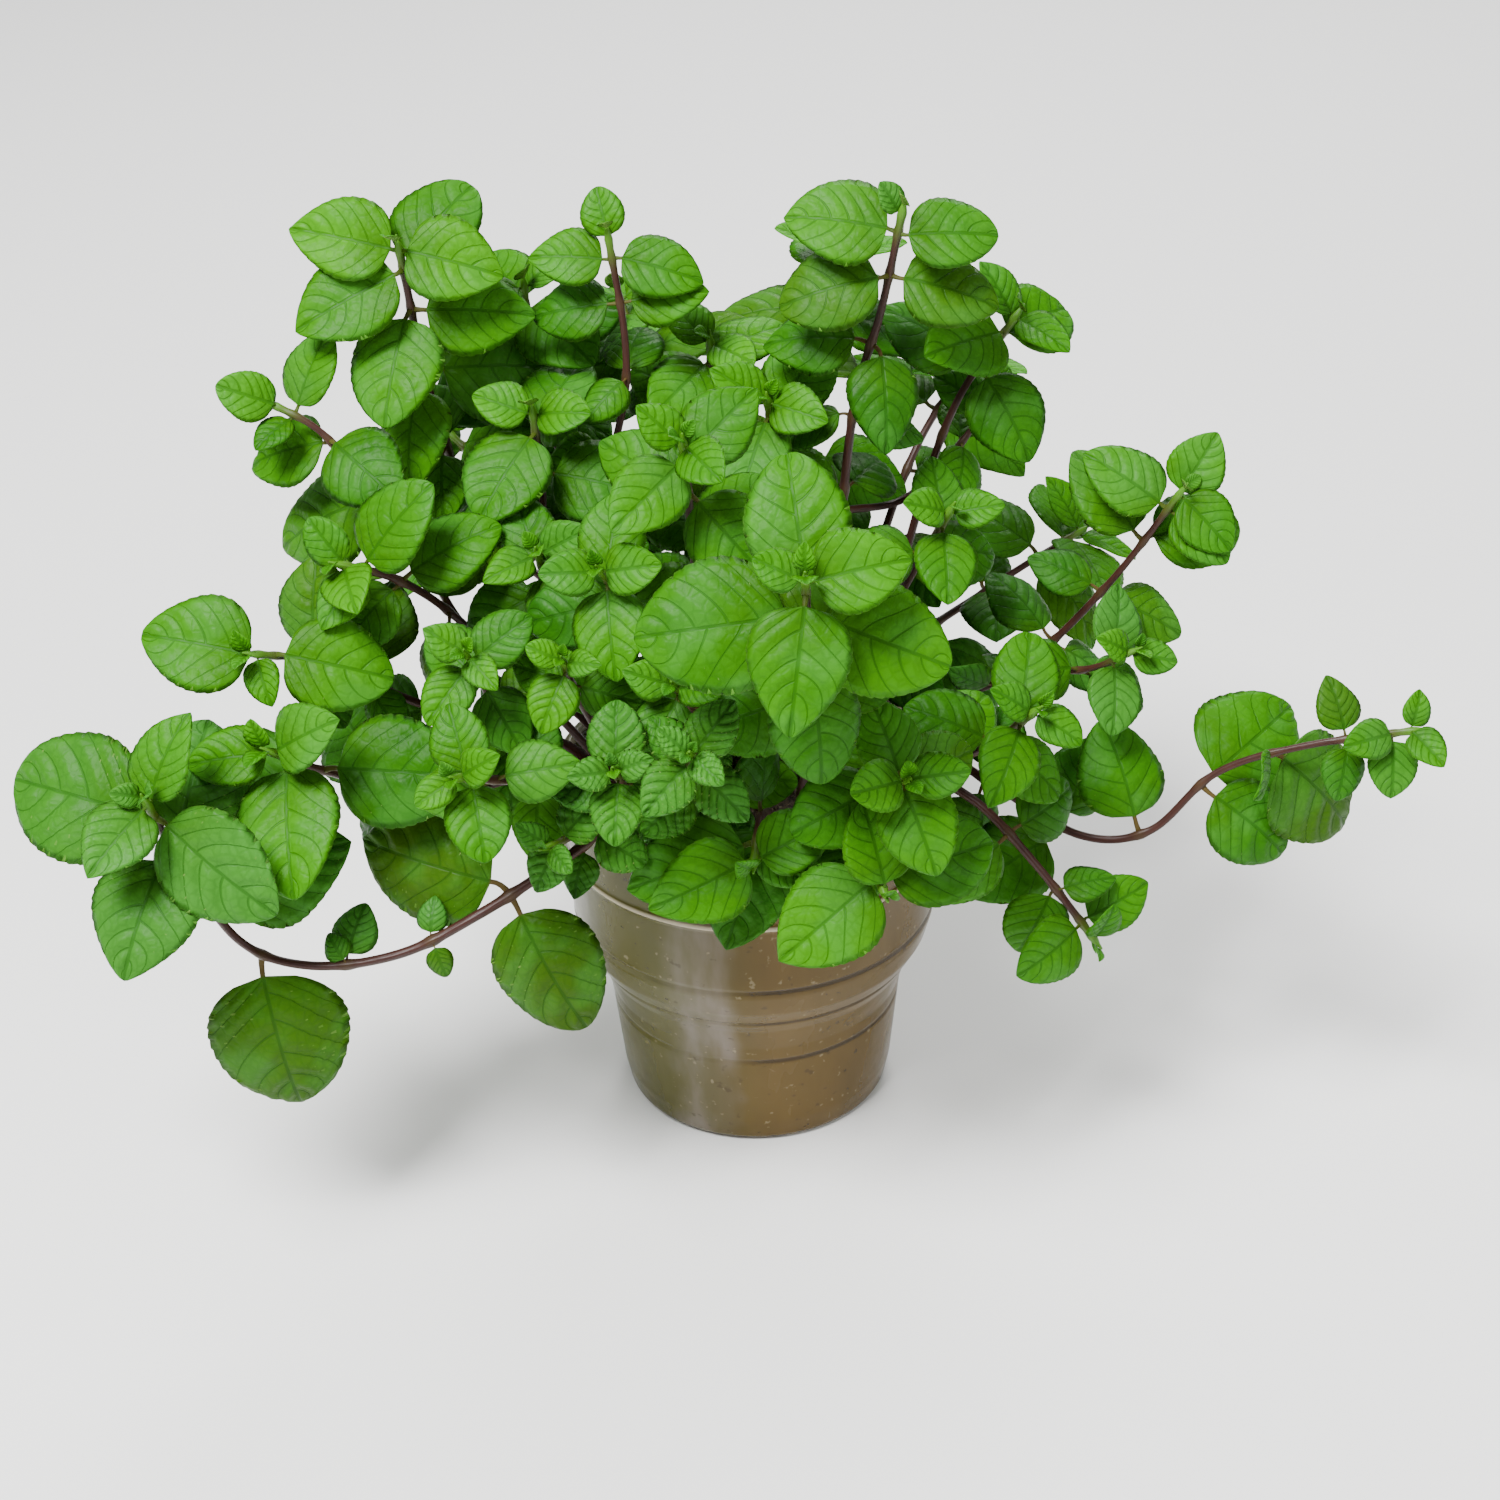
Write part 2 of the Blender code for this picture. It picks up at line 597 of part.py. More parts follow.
def leaf_skin(leaf, base, corners):
    """A leaf's own points, numbered from base on, and the faces that tie them to the stem's four
    corners: left above, left below, right above and right below."""
    stations, _, ribs = leaf_pattern(leaf["length"])
    left, _, right, tip = leaf_rows(leaf, 0.0, 0.0)
    top = leaf_rows(leaf, 0.0, BLADE_HALF)[1]
    bottom = leaf_rows(leaf, 0.0, -BLADE_HALF)[1]
    n, k = len(stations), len(ribs)
    end = base + 2 * n + 2 * k
    lefts, tops, rights, lows = base, base + n, base + n + k, base + 2 * n + k
    left_above, left_below, right_above, right_below = corners
    faces = [(left_above, lefts, left_below), (right_above, right_below, rights)]
    faces.append((left_above, right_above, tops if k else end))
    faces.append((left_below, lows if k else end, right_below))
    faces += [f[::-1] for f in strip(row(lefts, stations, left_above, end), row(tops, ribs, left_above, end))]
    faces += strip(row(rights, stations, right_above, end), row(tops, ribs, right_above, end))
    faces += strip(row(lefts, stations, left_below, end), row(lows, ribs, left_below, end))
    faces += [f[::-1] for f in strip(row(rights, stations, right_below, end), row(lows, ribs, right_below, end))]
    return [*left, *top, *right, *bottom, *tip], faces


def leaf_solid(leaf):
    """A leaf with its root as a body of its own, to test what it meets."""
    points, faces = leaf_skin(leaf, 4, (0, 1, 2, 3))
    return np.array([*leaf["corners"], *points]), faces


def leaf_sheets(leaf):
    """Two sheets around a leaf, as far out as the other leaves keep from it."""
    stations, _, ribs = leaf_pattern(leaf["length"])
    n, k = len(stations), len(ribs)
    points, faces = [], []
    for lift in (CLEAR_HALF, -CLEAR_HALF):
        first = len(points)
        begin = leaf_surface(leaf, np.array([0.02]), np.array([0.0]), lift)
        left, middle, right, tip = leaf_rows(leaf, CLEAR_RIM, lift)
        points += [*begin, *left, *middle, *right, *tip]
        end = len(points) - 1
        rib_row = row(first + 1 + n, ribs, first, end)
        faces += strip(row(first + 1, stations, first, end), rib_row)
        faces += strip(row(first + 1 + n + k, stations, first, end), rib_row)
    return np.array(points), faces


def tree_of(points, faces):
    return BVHTree.FromPolygons(np.asarray(points).tolist(), faces, all_triangles=True)


def shrunk_tree(points, faces):
    """A tree of the same triangles, each drawn in a little, so that it doesn't touch its neighbours."""
    corners = np.asarray(points)[np.array(faces)]
    middles = corners.mean(axis=1, keepdims=True)
    corners = middles + SHRUNK * (corners - middles)
    return tree_of(corners.reshape(-1, 3), [(i, i + 1, i + 2) for i in range(0, 3 * len(faces), 3)])


class Thicket:
    """All that is already placed, as boxes and trees that a new leaf is tested against."""

    def __init__(self):
        self.boxes = np.empty((0, 6))
        self.solids = []
        self.first_leaf = 0

    def add(self, shoot, wide, exact):
        """Adds a solid by its (points, faces) as far out as others keep, and as it is."""
        points = np.asarray(wide[0])
        box = np.concatenate([points.min(axis=0), points.max(axis=0)])
        self.boxes = np.vstack([self.boxes, box])
        self.solids.append((shoot, tree_of(*wide), tree_of(*exact)))

    def meets(self, leaf, shoot):
        """Whether a leaf comes too near to anything. To its own shoot it only mustn't touch."""
        sheets = leaf_sheets(leaf)
        low, high = sheets[0].min(axis=0), sheets[0].max(axis=0)
        near = np.all(self.boxes[:, :3] <= high, axis=1) & np.all(self.boxes[:, 3:] >= low, axis=1)
        points, faces = leaf_solid(leaf)
        rooted = sorted({i for face in faces if min(face) < 4 for i in face if i > 3})
        if (points[rooted] - np.mean(leaf["corners"], axis=0)).dot(leaf["outward"]).min() < ROOT_RISE:
            return True
        wide, exact, shrunk = tree_of(*sheets), tree_of(points, faces), shrunk_tree(points, faces)
        if any(i != j for i, j in shrunk.overlap(exact)):
            return True
        if shrunk.overlap(tree_of(*tube(shoot, 0.0, leaf))):
            return True
        for index in np.flatnonzero(near):
            its_shoot, wide_tree, exact_tree = self.solids[index]
            if its_shoot is not shoot:
                if wide.overlap(wide_tree) or exact.overlap(exact_tree):
                    return True
            elif index >= self.first_leaf and exact.overlap(exact_tree):
                return True
        return False


def light_at(place):
    """The way the light comes to a leaf: from above and outside, and at the front from there."""
    x, y = place[0], place[1]
    outward = np.array([x, y, 0.0]) / max(math.hypot(x, y), BODY_RADIUS)
    front = (FRONT_GONE - y) / (FRONT_GONE - FRONT_ENDS)
    front = min(max(front, LEAST_FRONT), 1.0)
    return unit(OUTSIDE_LIGHT * outward + np.array([0.0, -FRONT_LIGHT * front, TOP_LIGHT]))


def grown_share(pair):
    """How far a leaf has grown from a bud at the tip to a full leaf."""
    return min(pair, GROWN_PAIR) / GROWN_PAIR


def hand_set(shoot, pair, side):
    """The angle and length of a leaf that is set by hand, or None."""
    return HAND_SET.get(shoot["node"], {}).get((pair, side)) if shoot["main"] else None


def outward_of(shoot, pair, face):
    """The way out of a face of the stem where a pair grows."""
    _, _, corner, other = shoot["way"].frame(shoot["leaf_places"][pair])
    corners = (corner, other, -corner, -other)
    return unit(corners[face] + corners[(face + 1) % 4])


def face_of(shoot, pair, side, set_angle, trial):
    """The face of the stem that a leaf grows on. Pairs are crossed, but a leaf that is set by hand takes
    one of the two free faces that look its way most, and its partner then takes the opposite one."""
    taken = [leaf["face"] for leaf in shoot["leaves"] if leaf["pair"] == pair]
    if set_angle is not None:
        free = [face for face in range(4) if face not in taken]
        aim = seen_at(math.radians(set_angle), HAND_TILT)
        ranked = sorted(free, key=lambda face: -outward_of(shoot, pair, face).dot(aim))
        return ranked[trial // 2 % 2]
    if not taken:
        return (pair + 2 * side) % 4
    return next(face for face in ((taken[0] + 2) % 4, (taken[0] + 1) % 4) if face not in taken)


def seen_at(angle, tilt):
    """The direction of a leaf that is seen at an angle from the front and tilts towards there."""
    upward = np.array([0.0, math.sin(SEEN_FROM), math.cos(SEEN_FROM)])
    towards = np.array([0.0, -math.cos(SEEN_FROM), math.sin(SEEN_FROM)])
    level = math.cos(angle) * np.array([1.0, 0.0, 0.0]) + math.sin(angle) * upward
    return math.cos(tilt) * level + math.sin(tilt) * towards


def leaf_directions(shoot, pair, face, rng, trial, set_angle=None):
    """A leaf's midrib, its width's direction and its upper side, with the stem's face it grows on."""
    place, heading, _, _ = shoot["way"].frame(shoot["leaf_places"][pair])
    outward = outward_of(shoot, pair, face)
    grown = grown_share(pair)
    light_share = np.interp(grown, (0, 1), LIGHT_SHARE)
    light = light_at(place)
    axis = unit(heading * (1 - light_share) + light * light_share)
    level = unit(outward - axis * outward.dot(axis))
    side_of_swing = -1 if trial % 2 else 1
    swing = math.radians(SWING_STEP * ((trial + 1) // 2) * side_of_swing + rng.normal(0, SWING_SPREAD))
    level = math.cos(swing) * level + math.sin(swing) * np.cross(axis, level)
    spread = ANGLE_SPREAD + SPREAD_STEP * trial
    angle = math.radians(PAIR_ANGLE[pair] + rng.normal(0, spread))
    along = math.cos(angle) * axis + math.sin(angle) * level
    along = unit(along - np.array([0.0, 0.0, LEAF_SAG * grown]))
    if set_angle is not None:
        tilt = HAND_TILT + TILT_STEP * trial * rng.uniform(0, 1)
        along = seen_at(math.radians(set_angle) + HAND_SWING * swing, tilt)
    if pair > 1:
        along = unit(along + max(0.0, LEAST_LEAN - along.dot(outward)) * outward)
    up = LIGHT_TURN * light
    if set_angle is None:
        up = up + math.sin(angle) * axis - math.cos(angle) * level
    up = unit(up - along * up.dot(along))
    across = np.cross(up, along)
    roll = math.radians(rng.normal(0, 2 * spread if set_angle is None else HAND_ROLL))
    return {
        "outward": outward,
        "along": along,
        "across": math.cos(roll) * across + math.sin(roll) * up,
        "up": math.cos(roll) * up - math.sin(roll) * across,
    }


def root_turn(leaf, corners):
    """By how many corners a leaf's root is turned on its face of the stem, so that it twists least.

    The corners run around the face: left above, left below, right below and right above. They are
    compared with the leaf's own sides as they are once its midrib is swung to the way out of the face."""
    spokes = np.array(corners) - np.mean(corners, axis=0)
    outward, along = leaf["outward"], leaf["along"]
    middle = (outward + along) / (1 + outward.dot(along))
    across, up = (way - way.dot(outward) * middle for way in (leaf["across"], leaf["up"]))
    wanted = np.array([across + up, across - up, -across - up, up - across])
    return max(range(4), key=lambda turn: np.sum(np.roll(spokes, -turn, axis=0) * wanted))


def turned_root(corners, turn):
    """The corners of a root that is turned: left above, left below, right above and right below."""
    a, b, c, d = (*corners[turn:], *corners[:turn])
    return a, b, d, c


def leaf_of(shoot, pair, side, rng, trial):
    """One leaf of a pair, on the face of the stem where it grows, turned a little more each trial."""
    distance = shoot["leaf_places"][pair]
    set_angle, set_length = hand_set(shoot, pair, side) or (None, None)
    face = face_of(shoot, pair, side, set_angle, trial)
    leaf = leaf_directions(shoot, pair, face, rng, trial, set_angle)
    grown = grown_share(pair)
    length = shoot["leaf"] * PAIR_SIZE[pair] * rng.uniform(*LENGTH_SPREAD)
    if set_length:
        length = set_length * MM
    length *= 1 - SHRINK_STEP * trial
    stalk = length * (LEAST_STALK + STALK_SHARE * grown)
    start = shoot["way"].frame(distance)[0] + STALK_START * stem_radius(shoot, distance) * leaf["outward"]
    below = ring_of(shoot, distance - STALK_HALF)
    above = ring_of(shoot, min(distance + STALK_HALF, shoot["way"].length))
    right, left = face, (face + 1) % 4
    corners = (above[left], below[left], below[right], above[right])
    turn = root_turn(leaf, corners)
    leaf.update(
        pair=pair,
        face=face,
        turn=turn,
        corners=turned_root(corners, turn),
        blade=start + stalk * unit(leaf["outward"] + leaf["along"]),
        length=length,
        width=length * LEAF_WIDTH_SHARE * rng.uniform(*WIDTH_SPREAD),
        bend=math.radians(np.interp(grown, (0, 1), LEAF_BEND) + rng.uniform(*BEND_SPREAD)),
        cup=np.interp(grown, (0, 1), LEAF_CUP),
        droop=np.interp(grown, (0, 1), LEAF_DROOP),
        wave=length * WAVE_SHARE,
        phase=rng.uniform(0, 2 * math.pi),
    )
    return leaf


def back_stems():
    """The stems at the back, in the form of the table's rows."""
    rng = np.random.default_rng(BACK_SEED)
    rows = {}
    for i in range(BACK_STEMS):
        lean = BACK_LEANS[i % 3]
        root = BACK_ROOTS[i % 3]
        turned_by = rng.uniform(-BACK_TURN_SPREAD, BACK_TURN_SPREAD)
        angle = math.radians(np.interp(i + 0.5, (0, BACK_STEMS), BACK_SPAN) + turned_by)
        reach = np.interp(lean, (0, 1), BACK_REACH) + rng.uniform(-BACK_SPREAD, BACK_SPREAD)
        height = np.interp(lean, (0, 1), BACK_HEIGHT) + rng.uniform(-BACK_SPREAD, BACK_SPREAD)
        aim = np.array([math.cos(angle), math.sin(angle)])
        points = [
            (*(aim * (root + BACK_SHARES[0] * (reach - root))), BACK_RIM_HEIGHT),
            (*(aim * (root + BACK_SHARES[1] * (reach - root))),
             BACK_FOOT_HEIGHT + BACK_RISE * (height - BACK_FOOT_HEIGHT)),
            (*(aim * reach), height),
        ]
        largest = rng.uniform(*BACK_LEAF)
        turn = rng.uniform(0, 90)
        rows[f"stem_back_{i + 1:02d}"] = (tuple(aim * root), points, largest, turn, BACK_PAIRS, [])
    return rows


def make_shoots():
    """Every stem and side shoot, with its way, thickness, largest leaf and number of leaf pairs."""
    shoots = []
    for node, ((x, y), points, largest, turn, pairs, side_shoots) in {**STEMS, **back_stems()}.items():
        foot = np.array([x * MM, y * MM, SOIL_TOP - HOLE_DEPTH + ROOT_GAP])
        collar = np.array([x * MM, y * MM, SOIL_TOP + SOIL_MOUND + 3 * MM])
        way = Way([foot, *smooth_way([collar, *(np.array(p) * MM for p in points)])], math.radians(turn))
        shoots.append(
            {"node": node, "main": True, "way": way, "collar": way.along[1], "radius": STEM_RADIUS,
             "leaf": largest * MM, "pairs": pairs, "leaves": []}
        )
        for share, its_points, its_largest, its_turn, its_pairs in side_shoots:
            start = way.frame(share * way.length)[0]
            its_way = Way(smooth_way([start, *(np.array(p) * MM for p in its_points)]), math.radians(its_turn))
            shoots.append(
                {"node": node, "main": False, "way": its_way, "collar": 0.0, "radius": SHOOT_RADIUS,
                 "leaf": its_largest * MM, "pairs": its_pairs, "leaves": []}
            )
    for shoot in shoots:
        shoot["leaf_places"] = leaf_places(shoot)
        shoot["rings"] = ring_places(shoot)
    return shoots


def tube_faces(low, high):
    """The two triangles of each side between two rings of four points."""
    faces = []
    for i in range(4):
        j = (i + 1) % 4
        faces.append([(low + i, low + j, high + j), (low + i, high + j, high + i)])
    return faces


def ring_below(shoot, leaf):
    """The number of the ring at the lower edge of a leaf's root."""
    low = shoot["leaf_places"][leaf["pair"]] - STALK_HALF
    return int(np.argmin(np.abs(np.array(shoot["rings"]) - low)))


def tube(shoot, extra, leaf=None):
    """A stem's sides without its leaves, for the tests, and open where the given leaf grows."""
    rings = shoot["rings"]
    points = [p for place in rings for p in ring_of(shoot, place, extra)]
    faces = []
    for ring in range(len(rings) - 1):
        for face, triangles in enumerate(tube_faces(4 * ring, 4 * ring + 4)):
            if leaf is None or (ring, face) != (ring_below(shoot, leaf), leaf["face"]):
                faces += triangles
    return np.array(points), faces


def grow(shoots):
    """Gives every shoot its leaves, each turned until it is clear of all that is there."""
    thicket = Thicket()
    for profile in (tub_profile(), soil_profile()):
        thicket.add(None, lathe(profile), lathe(profile))
    for shoot in shoots:
        thicket.add(shoot, tube(shoot, CLEAR_RIM), tube(shoot, 0.0))
    thicket.first_leaf = len(thicket.solids)
    left_out = 0
    order = [
        (hand_set(shoot, pair, side) is None, pair, number, side)
        for number, shoot in enumerate(shoots) for pair in shoot["leaf_places"] for side in (0, 1)
    ]
    for _, pair, number, side in sorted(order):
        shoot = shoots[number]
        rng = np.random.default_rng([number, pair, side])
        for trial in range(TURNS_TRIED):
            leaf = leaf_of(shoot, pair, side, rng, trial)
            if not thicket.meets(leaf, shoot):
                thicket.add(shoot, leaf_sheets(leaf), leaf_solid(leaf))
                shoot["leaves"].append(leaf)
                break
        else:
            left_out += 1
    print(sum(len(shoot["leaves"]) for shoot in shoots), "leaves,", left_out, "left out")


def shoot_mesh(shoot):
    """A shoot's closed mesh: its square tube, in which each leaf grows out of a face of the stem."""
    rings = shoot["rings"]
    points = [p for place in rings for p in ring_of(shoot, place)]
    at = {(ring_below(shoot, leaf), leaf["face"]): leaf for leaf in shoot["leaves"]}
    faces = [(0, 2, 1), (0, 3, 2)]
    for ring in range(len(rings) - 1):
        low, high = 4 * ring, 4 * ring + 4
        for face, triangles in enumerate(tube_faces(low, high)):
            leaf = at.get((ring, face))
            if leaf is None:
                faces += triangles
                continue
            right, left = face, (face + 1) % 4
            corners = (high + left, low + left, low + right, high + right)
            own, skin = leaf_skin(leaf, len(points), turned_root(corners, leaf["turn"]))
            points += own
            faces += skin
    last = 4 * (len(rings) - 1)
    faces += [(last, last + 1, last + 2), (last, last + 2, last + 3)]
    return points, faces


def make_stem(shoots, finish):
    """One leafy stem: its own shoot with the side shoots joined to it."""
    node = shoots[0]["node"]
    stem = add_object(node, *shoot_mesh(shoots[0]), finish)
    if len(shoots) > 1:
        parts = bpy.data.collections.new("side_shoots")
        bpy.context.scene.collection.children.link(parts)
        for shoot in shoots[1:]:
            made = add_object("side_shoot", *shoot_mesh(shoot), finish)
            bpy.context.scene.collection.objects.unlink(made)
            parts.objects.link(made)
        join(stem, parts, "UNION")
    return stem


def main():
    clear_scene()
    shoots = make_shoots()
    turned("pot", tub_profile(), material("smoky_clear_plastic", TUB_GREY, 0.2))
    make_soil(shoots)
    grow(shoots)
    green = material("mint_green", BLADE_GREEN, 0.55)
    for node in dict.fromkeys(shoot["node"] for shoot in shoots):
        make_stem([shoot for shoot in shoots if shoot["node"] == node], green)


main()
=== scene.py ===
import math

import bpy
import numpy as np
from mathutils import Matrix, Vector
from mathutils.bvhtree import BVHTree


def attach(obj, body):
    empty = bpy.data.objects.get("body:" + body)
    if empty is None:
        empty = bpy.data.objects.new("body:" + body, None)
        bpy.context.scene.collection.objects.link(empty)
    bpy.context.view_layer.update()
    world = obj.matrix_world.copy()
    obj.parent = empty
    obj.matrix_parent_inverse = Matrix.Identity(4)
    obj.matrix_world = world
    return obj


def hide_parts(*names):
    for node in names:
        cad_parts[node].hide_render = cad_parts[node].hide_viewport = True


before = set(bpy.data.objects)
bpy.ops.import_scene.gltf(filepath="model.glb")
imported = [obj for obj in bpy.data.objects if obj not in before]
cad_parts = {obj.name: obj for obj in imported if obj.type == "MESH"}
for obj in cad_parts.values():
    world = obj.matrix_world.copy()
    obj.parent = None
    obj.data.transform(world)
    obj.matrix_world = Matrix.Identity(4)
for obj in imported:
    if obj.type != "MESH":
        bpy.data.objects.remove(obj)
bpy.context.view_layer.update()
MM = 0.001

# Camera
# It stands before the plant, looks down on it by 31 degrees and is rolled a little off level.
EYE_DISTANCE = 650 * MM
EYE_AIM = 99 * MM
EYE_ELEVATION = math.radians(31)
EYE_ROLL = math.radians(-1.5)
HALF_FRAME = 191.3 * MM

lens = bpy.data.cameras.new("camera")
lens.angle = 2 * math.atan(HALF_FRAME / EYE_DISTANCE)
lens.clip_start = 10 * MM
camera = bpy.data.objects.new("camera", lens)
bpy.context.scene.collection.objects.link(camera)
camera.matrix_world = (
    Matrix.Translation((0, 0, EYE_AIM))
    @ Matrix.Rotation(math.pi / 2 - EYE_ELEVATION, 4, "X")
    @ Matrix.Rotation(EYE_ROLL, 4, "Z")
    @ Matrix.Translation((0, 0, EYE_DISTANCE))
)
bpy.context.scene.camera = camera

# Tub
# A thin, smoky clear plastic tub with a tapered body, a shoulder, a wide collar, a bead and a rim.
# It is drawn from sheet in one piece and has shallow ribs around it.
TUB_HEIGHT = 96.0 * MM
RIM_RADIUS = 50.4 * MM
COLLAR_RADIUS = 48.2 * MM
BODY_RADIUS = 38.8 * MM
BASE_RADIUS = 32.5 * MM
WALL = 1.4 * MM
BEAD_HEIGHT = 77.0 * MM
SHOULDER_HEIGHT = 53.0 * MM
BODY_HEIGHT = 33.0 * MM
TUB_SIDES = 28
FINE_SIDES = 128
FINE_STEP = 0.6 * MM
BASE_DENT = 0.6 * MM
FOOT_WIDTH = 4 * MM
RIB_HEIGHTS = np.array([28.5, 44.0, 57.0]) * MM
RIB_DEPTH = 0.45 * MM
RIB_WIDTH = 0.5 * MM
LINE_HEIGHTS = (BEAD_HEIGHT / MM, TUB_HEIGHT / MM - 0.6)


def tub_outside():
    """The tub's outer profile as (radius, height), from the base up to the rim."""
    return [
        (BASE_RADIUS, 0.0),
        (BASE_RADIUS + 2.6 * MM, 1.4 * MM),
        (BODY_RADIUS - 2.6 * MM, 7.0 * MM),
        (BODY_RADIUS, BODY_HEIGHT),
        (BODY_RADIUS + 2.0 * MM, BODY_HEIGHT + 7.0 * MM),
        (COLLAR_RADIUS - 2.4 * MM, SHOULDER_HEIGHT - 4.0 * MM),
        (COLLAR_RADIUS - 0.8 * MM, SHOULDER_HEIGHT + 2.0 * MM),
        (COLLAR_RADIUS, BEAD_HEIGHT - 1.3 * MM),
        (COLLAR_RADIUS + 1.0 * MM, BEAD_HEIGHT),
        (COLLAR_RADIUS + 0.2 * MM, BEAD_HEIGHT + 1.3 * MM),
        (COLLAR_RADIUS + 0.6 * MM, TUB_HEIGHT - 3.2 * MM),
        (RIM_RADIUS, TUB_HEIGHT - 2.2 * MM),
        (RIM_RADIUS, TUB_HEIGHT - 0.7 * MM),
        (RIM_RADIUS - 0.7 * MM, TUB_HEIGHT),
    ]


def tub_inside():
    """The tub's inner profile from the floor up, one wall inside the outer one."""
    return [
        (BASE_RADIUS + 0.8 * MM, 1.8 * MM),
        (BODY_RADIUS - 2.6 * MM - WALL, 7.2 * MM),
        (BODY_RADIUS - WALL, BODY_HEIGHT + 0.4 * MM),
        (BODY_RADIUS + 1.6 * MM - WALL, BODY_HEIGHT + 7.6 * MM),
        (COLLAR_RADIUS - 2.8 * MM - WALL, SHOULDER_HEIGHT - 3.4 * MM),
        (COLLAR_RADIUS - 0.8 * MM - WALL, SHOULDER_HEIGHT + 2.8 * MM),
        (COLLAR_RADIUS + 0.6 * MM - WALL, TUB_HEIGHT),
    ]


def tub_profile():
    """The tub's whole profile, up its outside and down its inside."""
    inside = tub_inside()
    return [(0, 0.0)] + tub_outside() + inside[::-1] + [(0, inside[0][1])]


def walked(profile, step):
    """The profile's points an even step apart, which is about the given one."""
    profile = np.array(profile)
    runs = np.concatenate([[0], np.cumsum(np.linalg.norm(np.diff(profile, axis=0), axis=1))])
    even = np.linspace(0, runs[-1], int(runs[-1] / step) + 1)
    return np.stack([np.interp(even, runs, profile[:, i]) for i in (0, 1)], axis=1)


def turned(profile, sides):
    """Points and triangles of a solid of revolution: the point at profile step i and angle a is
    (radius i * cos a, radius i * sin a, height i). The profile begins and ends on the axis."""
    angles = np.arange(sides) * 2 * math.pi / sides
    radii, heights = np.array(profile)[1:-1].T
    rings = np.stack(
        [np.outer(radii, np.cos(angles)), np.outer(radii, np.sin(angles)),
         np.repeat(heights[:, None], sides, axis=1)],
        axis=-1,
    )
    ends = [[(0, 0, profile[0][1])], [(0, 0, profile[-1][1])]]
    points = np.concatenate([ends[0], rings.reshape(-1, 3), ends[1]])
    return points, ring_faces(1, len(radii), sides, 0, len(points) - 1)


def ring_faces(first, rows, sides, below, above):
    """Triangles of rows of rings, numbered from first on, with a fan to a point at each end. Seen
    from outside, a ring runs to the right and the next row lies above it."""
    i = np.arange(sides)
    j = (i + 1) % sides
    low = first + sides * np.arange(rows - 1)[:, None]
    a, b, c, d = low + i, low + j, low + sides + j, low + sides + i
    walls = np.concatenate([np.stack([a, b, c], axis=-1), np.stack([a, c, d], axis=-1)], axis=1)
    last = first + sides * (rows - 1)
    foot = np.stack([np.full(sides, below), first + j, first + i], axis=-1)
    top = np.stack([np.full(sides, above), last + i, last + j], axis=-1)
    return np.concatenate([foot, walls.reshape(-1, 3), top])


def new_piece(name, points, faces, materials, kinds=None, **attributes):
    """A smooth mesh object from arrays of points and triangles, with a vector for each point under
    each attribute's name, and which of the materials each triangle has."""
    mesh = bpy.data.meshes.new(name)
    mesh.vertices.add(len(points))
    mesh.vertices.foreach_set("co", np.asarray(points, np.float32).ravel())
    mesh.loops.add(3 * len(faces))
    mesh.loops.foreach_set("vertex_index", np.asarray(faces, np.int32).ravel())
    mesh.polygons.add(len(faces))
    mesh.polygons.foreach_set("loop_start", np.arange(0, 3 * len(faces), 3, dtype=np.int32))
    for each in materials:
        mesh.materials.append(each)
    if kinds is not None:
        mesh.polygons.foreach_set("material_index", np.asarray(kinds, np.int32))
    mesh.polygons.foreach_set("use_smooth", np.ones(len(faces), bool))
    for key, rows in attributes.items():
        made = mesh.attributes.new(key, "FLOAT_VECTOR", "POINT")
        made.data.foreach_set("vector", np.asarray(rows, np.float32).ravel())
    mesh.update(calc_edges=True)
    mesh.validate()
    piece = bpy.data.objects.new(name, mesh)
    bpy.context.scene.collection.objects.link(piece)
    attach(piece, "root")
    return piece


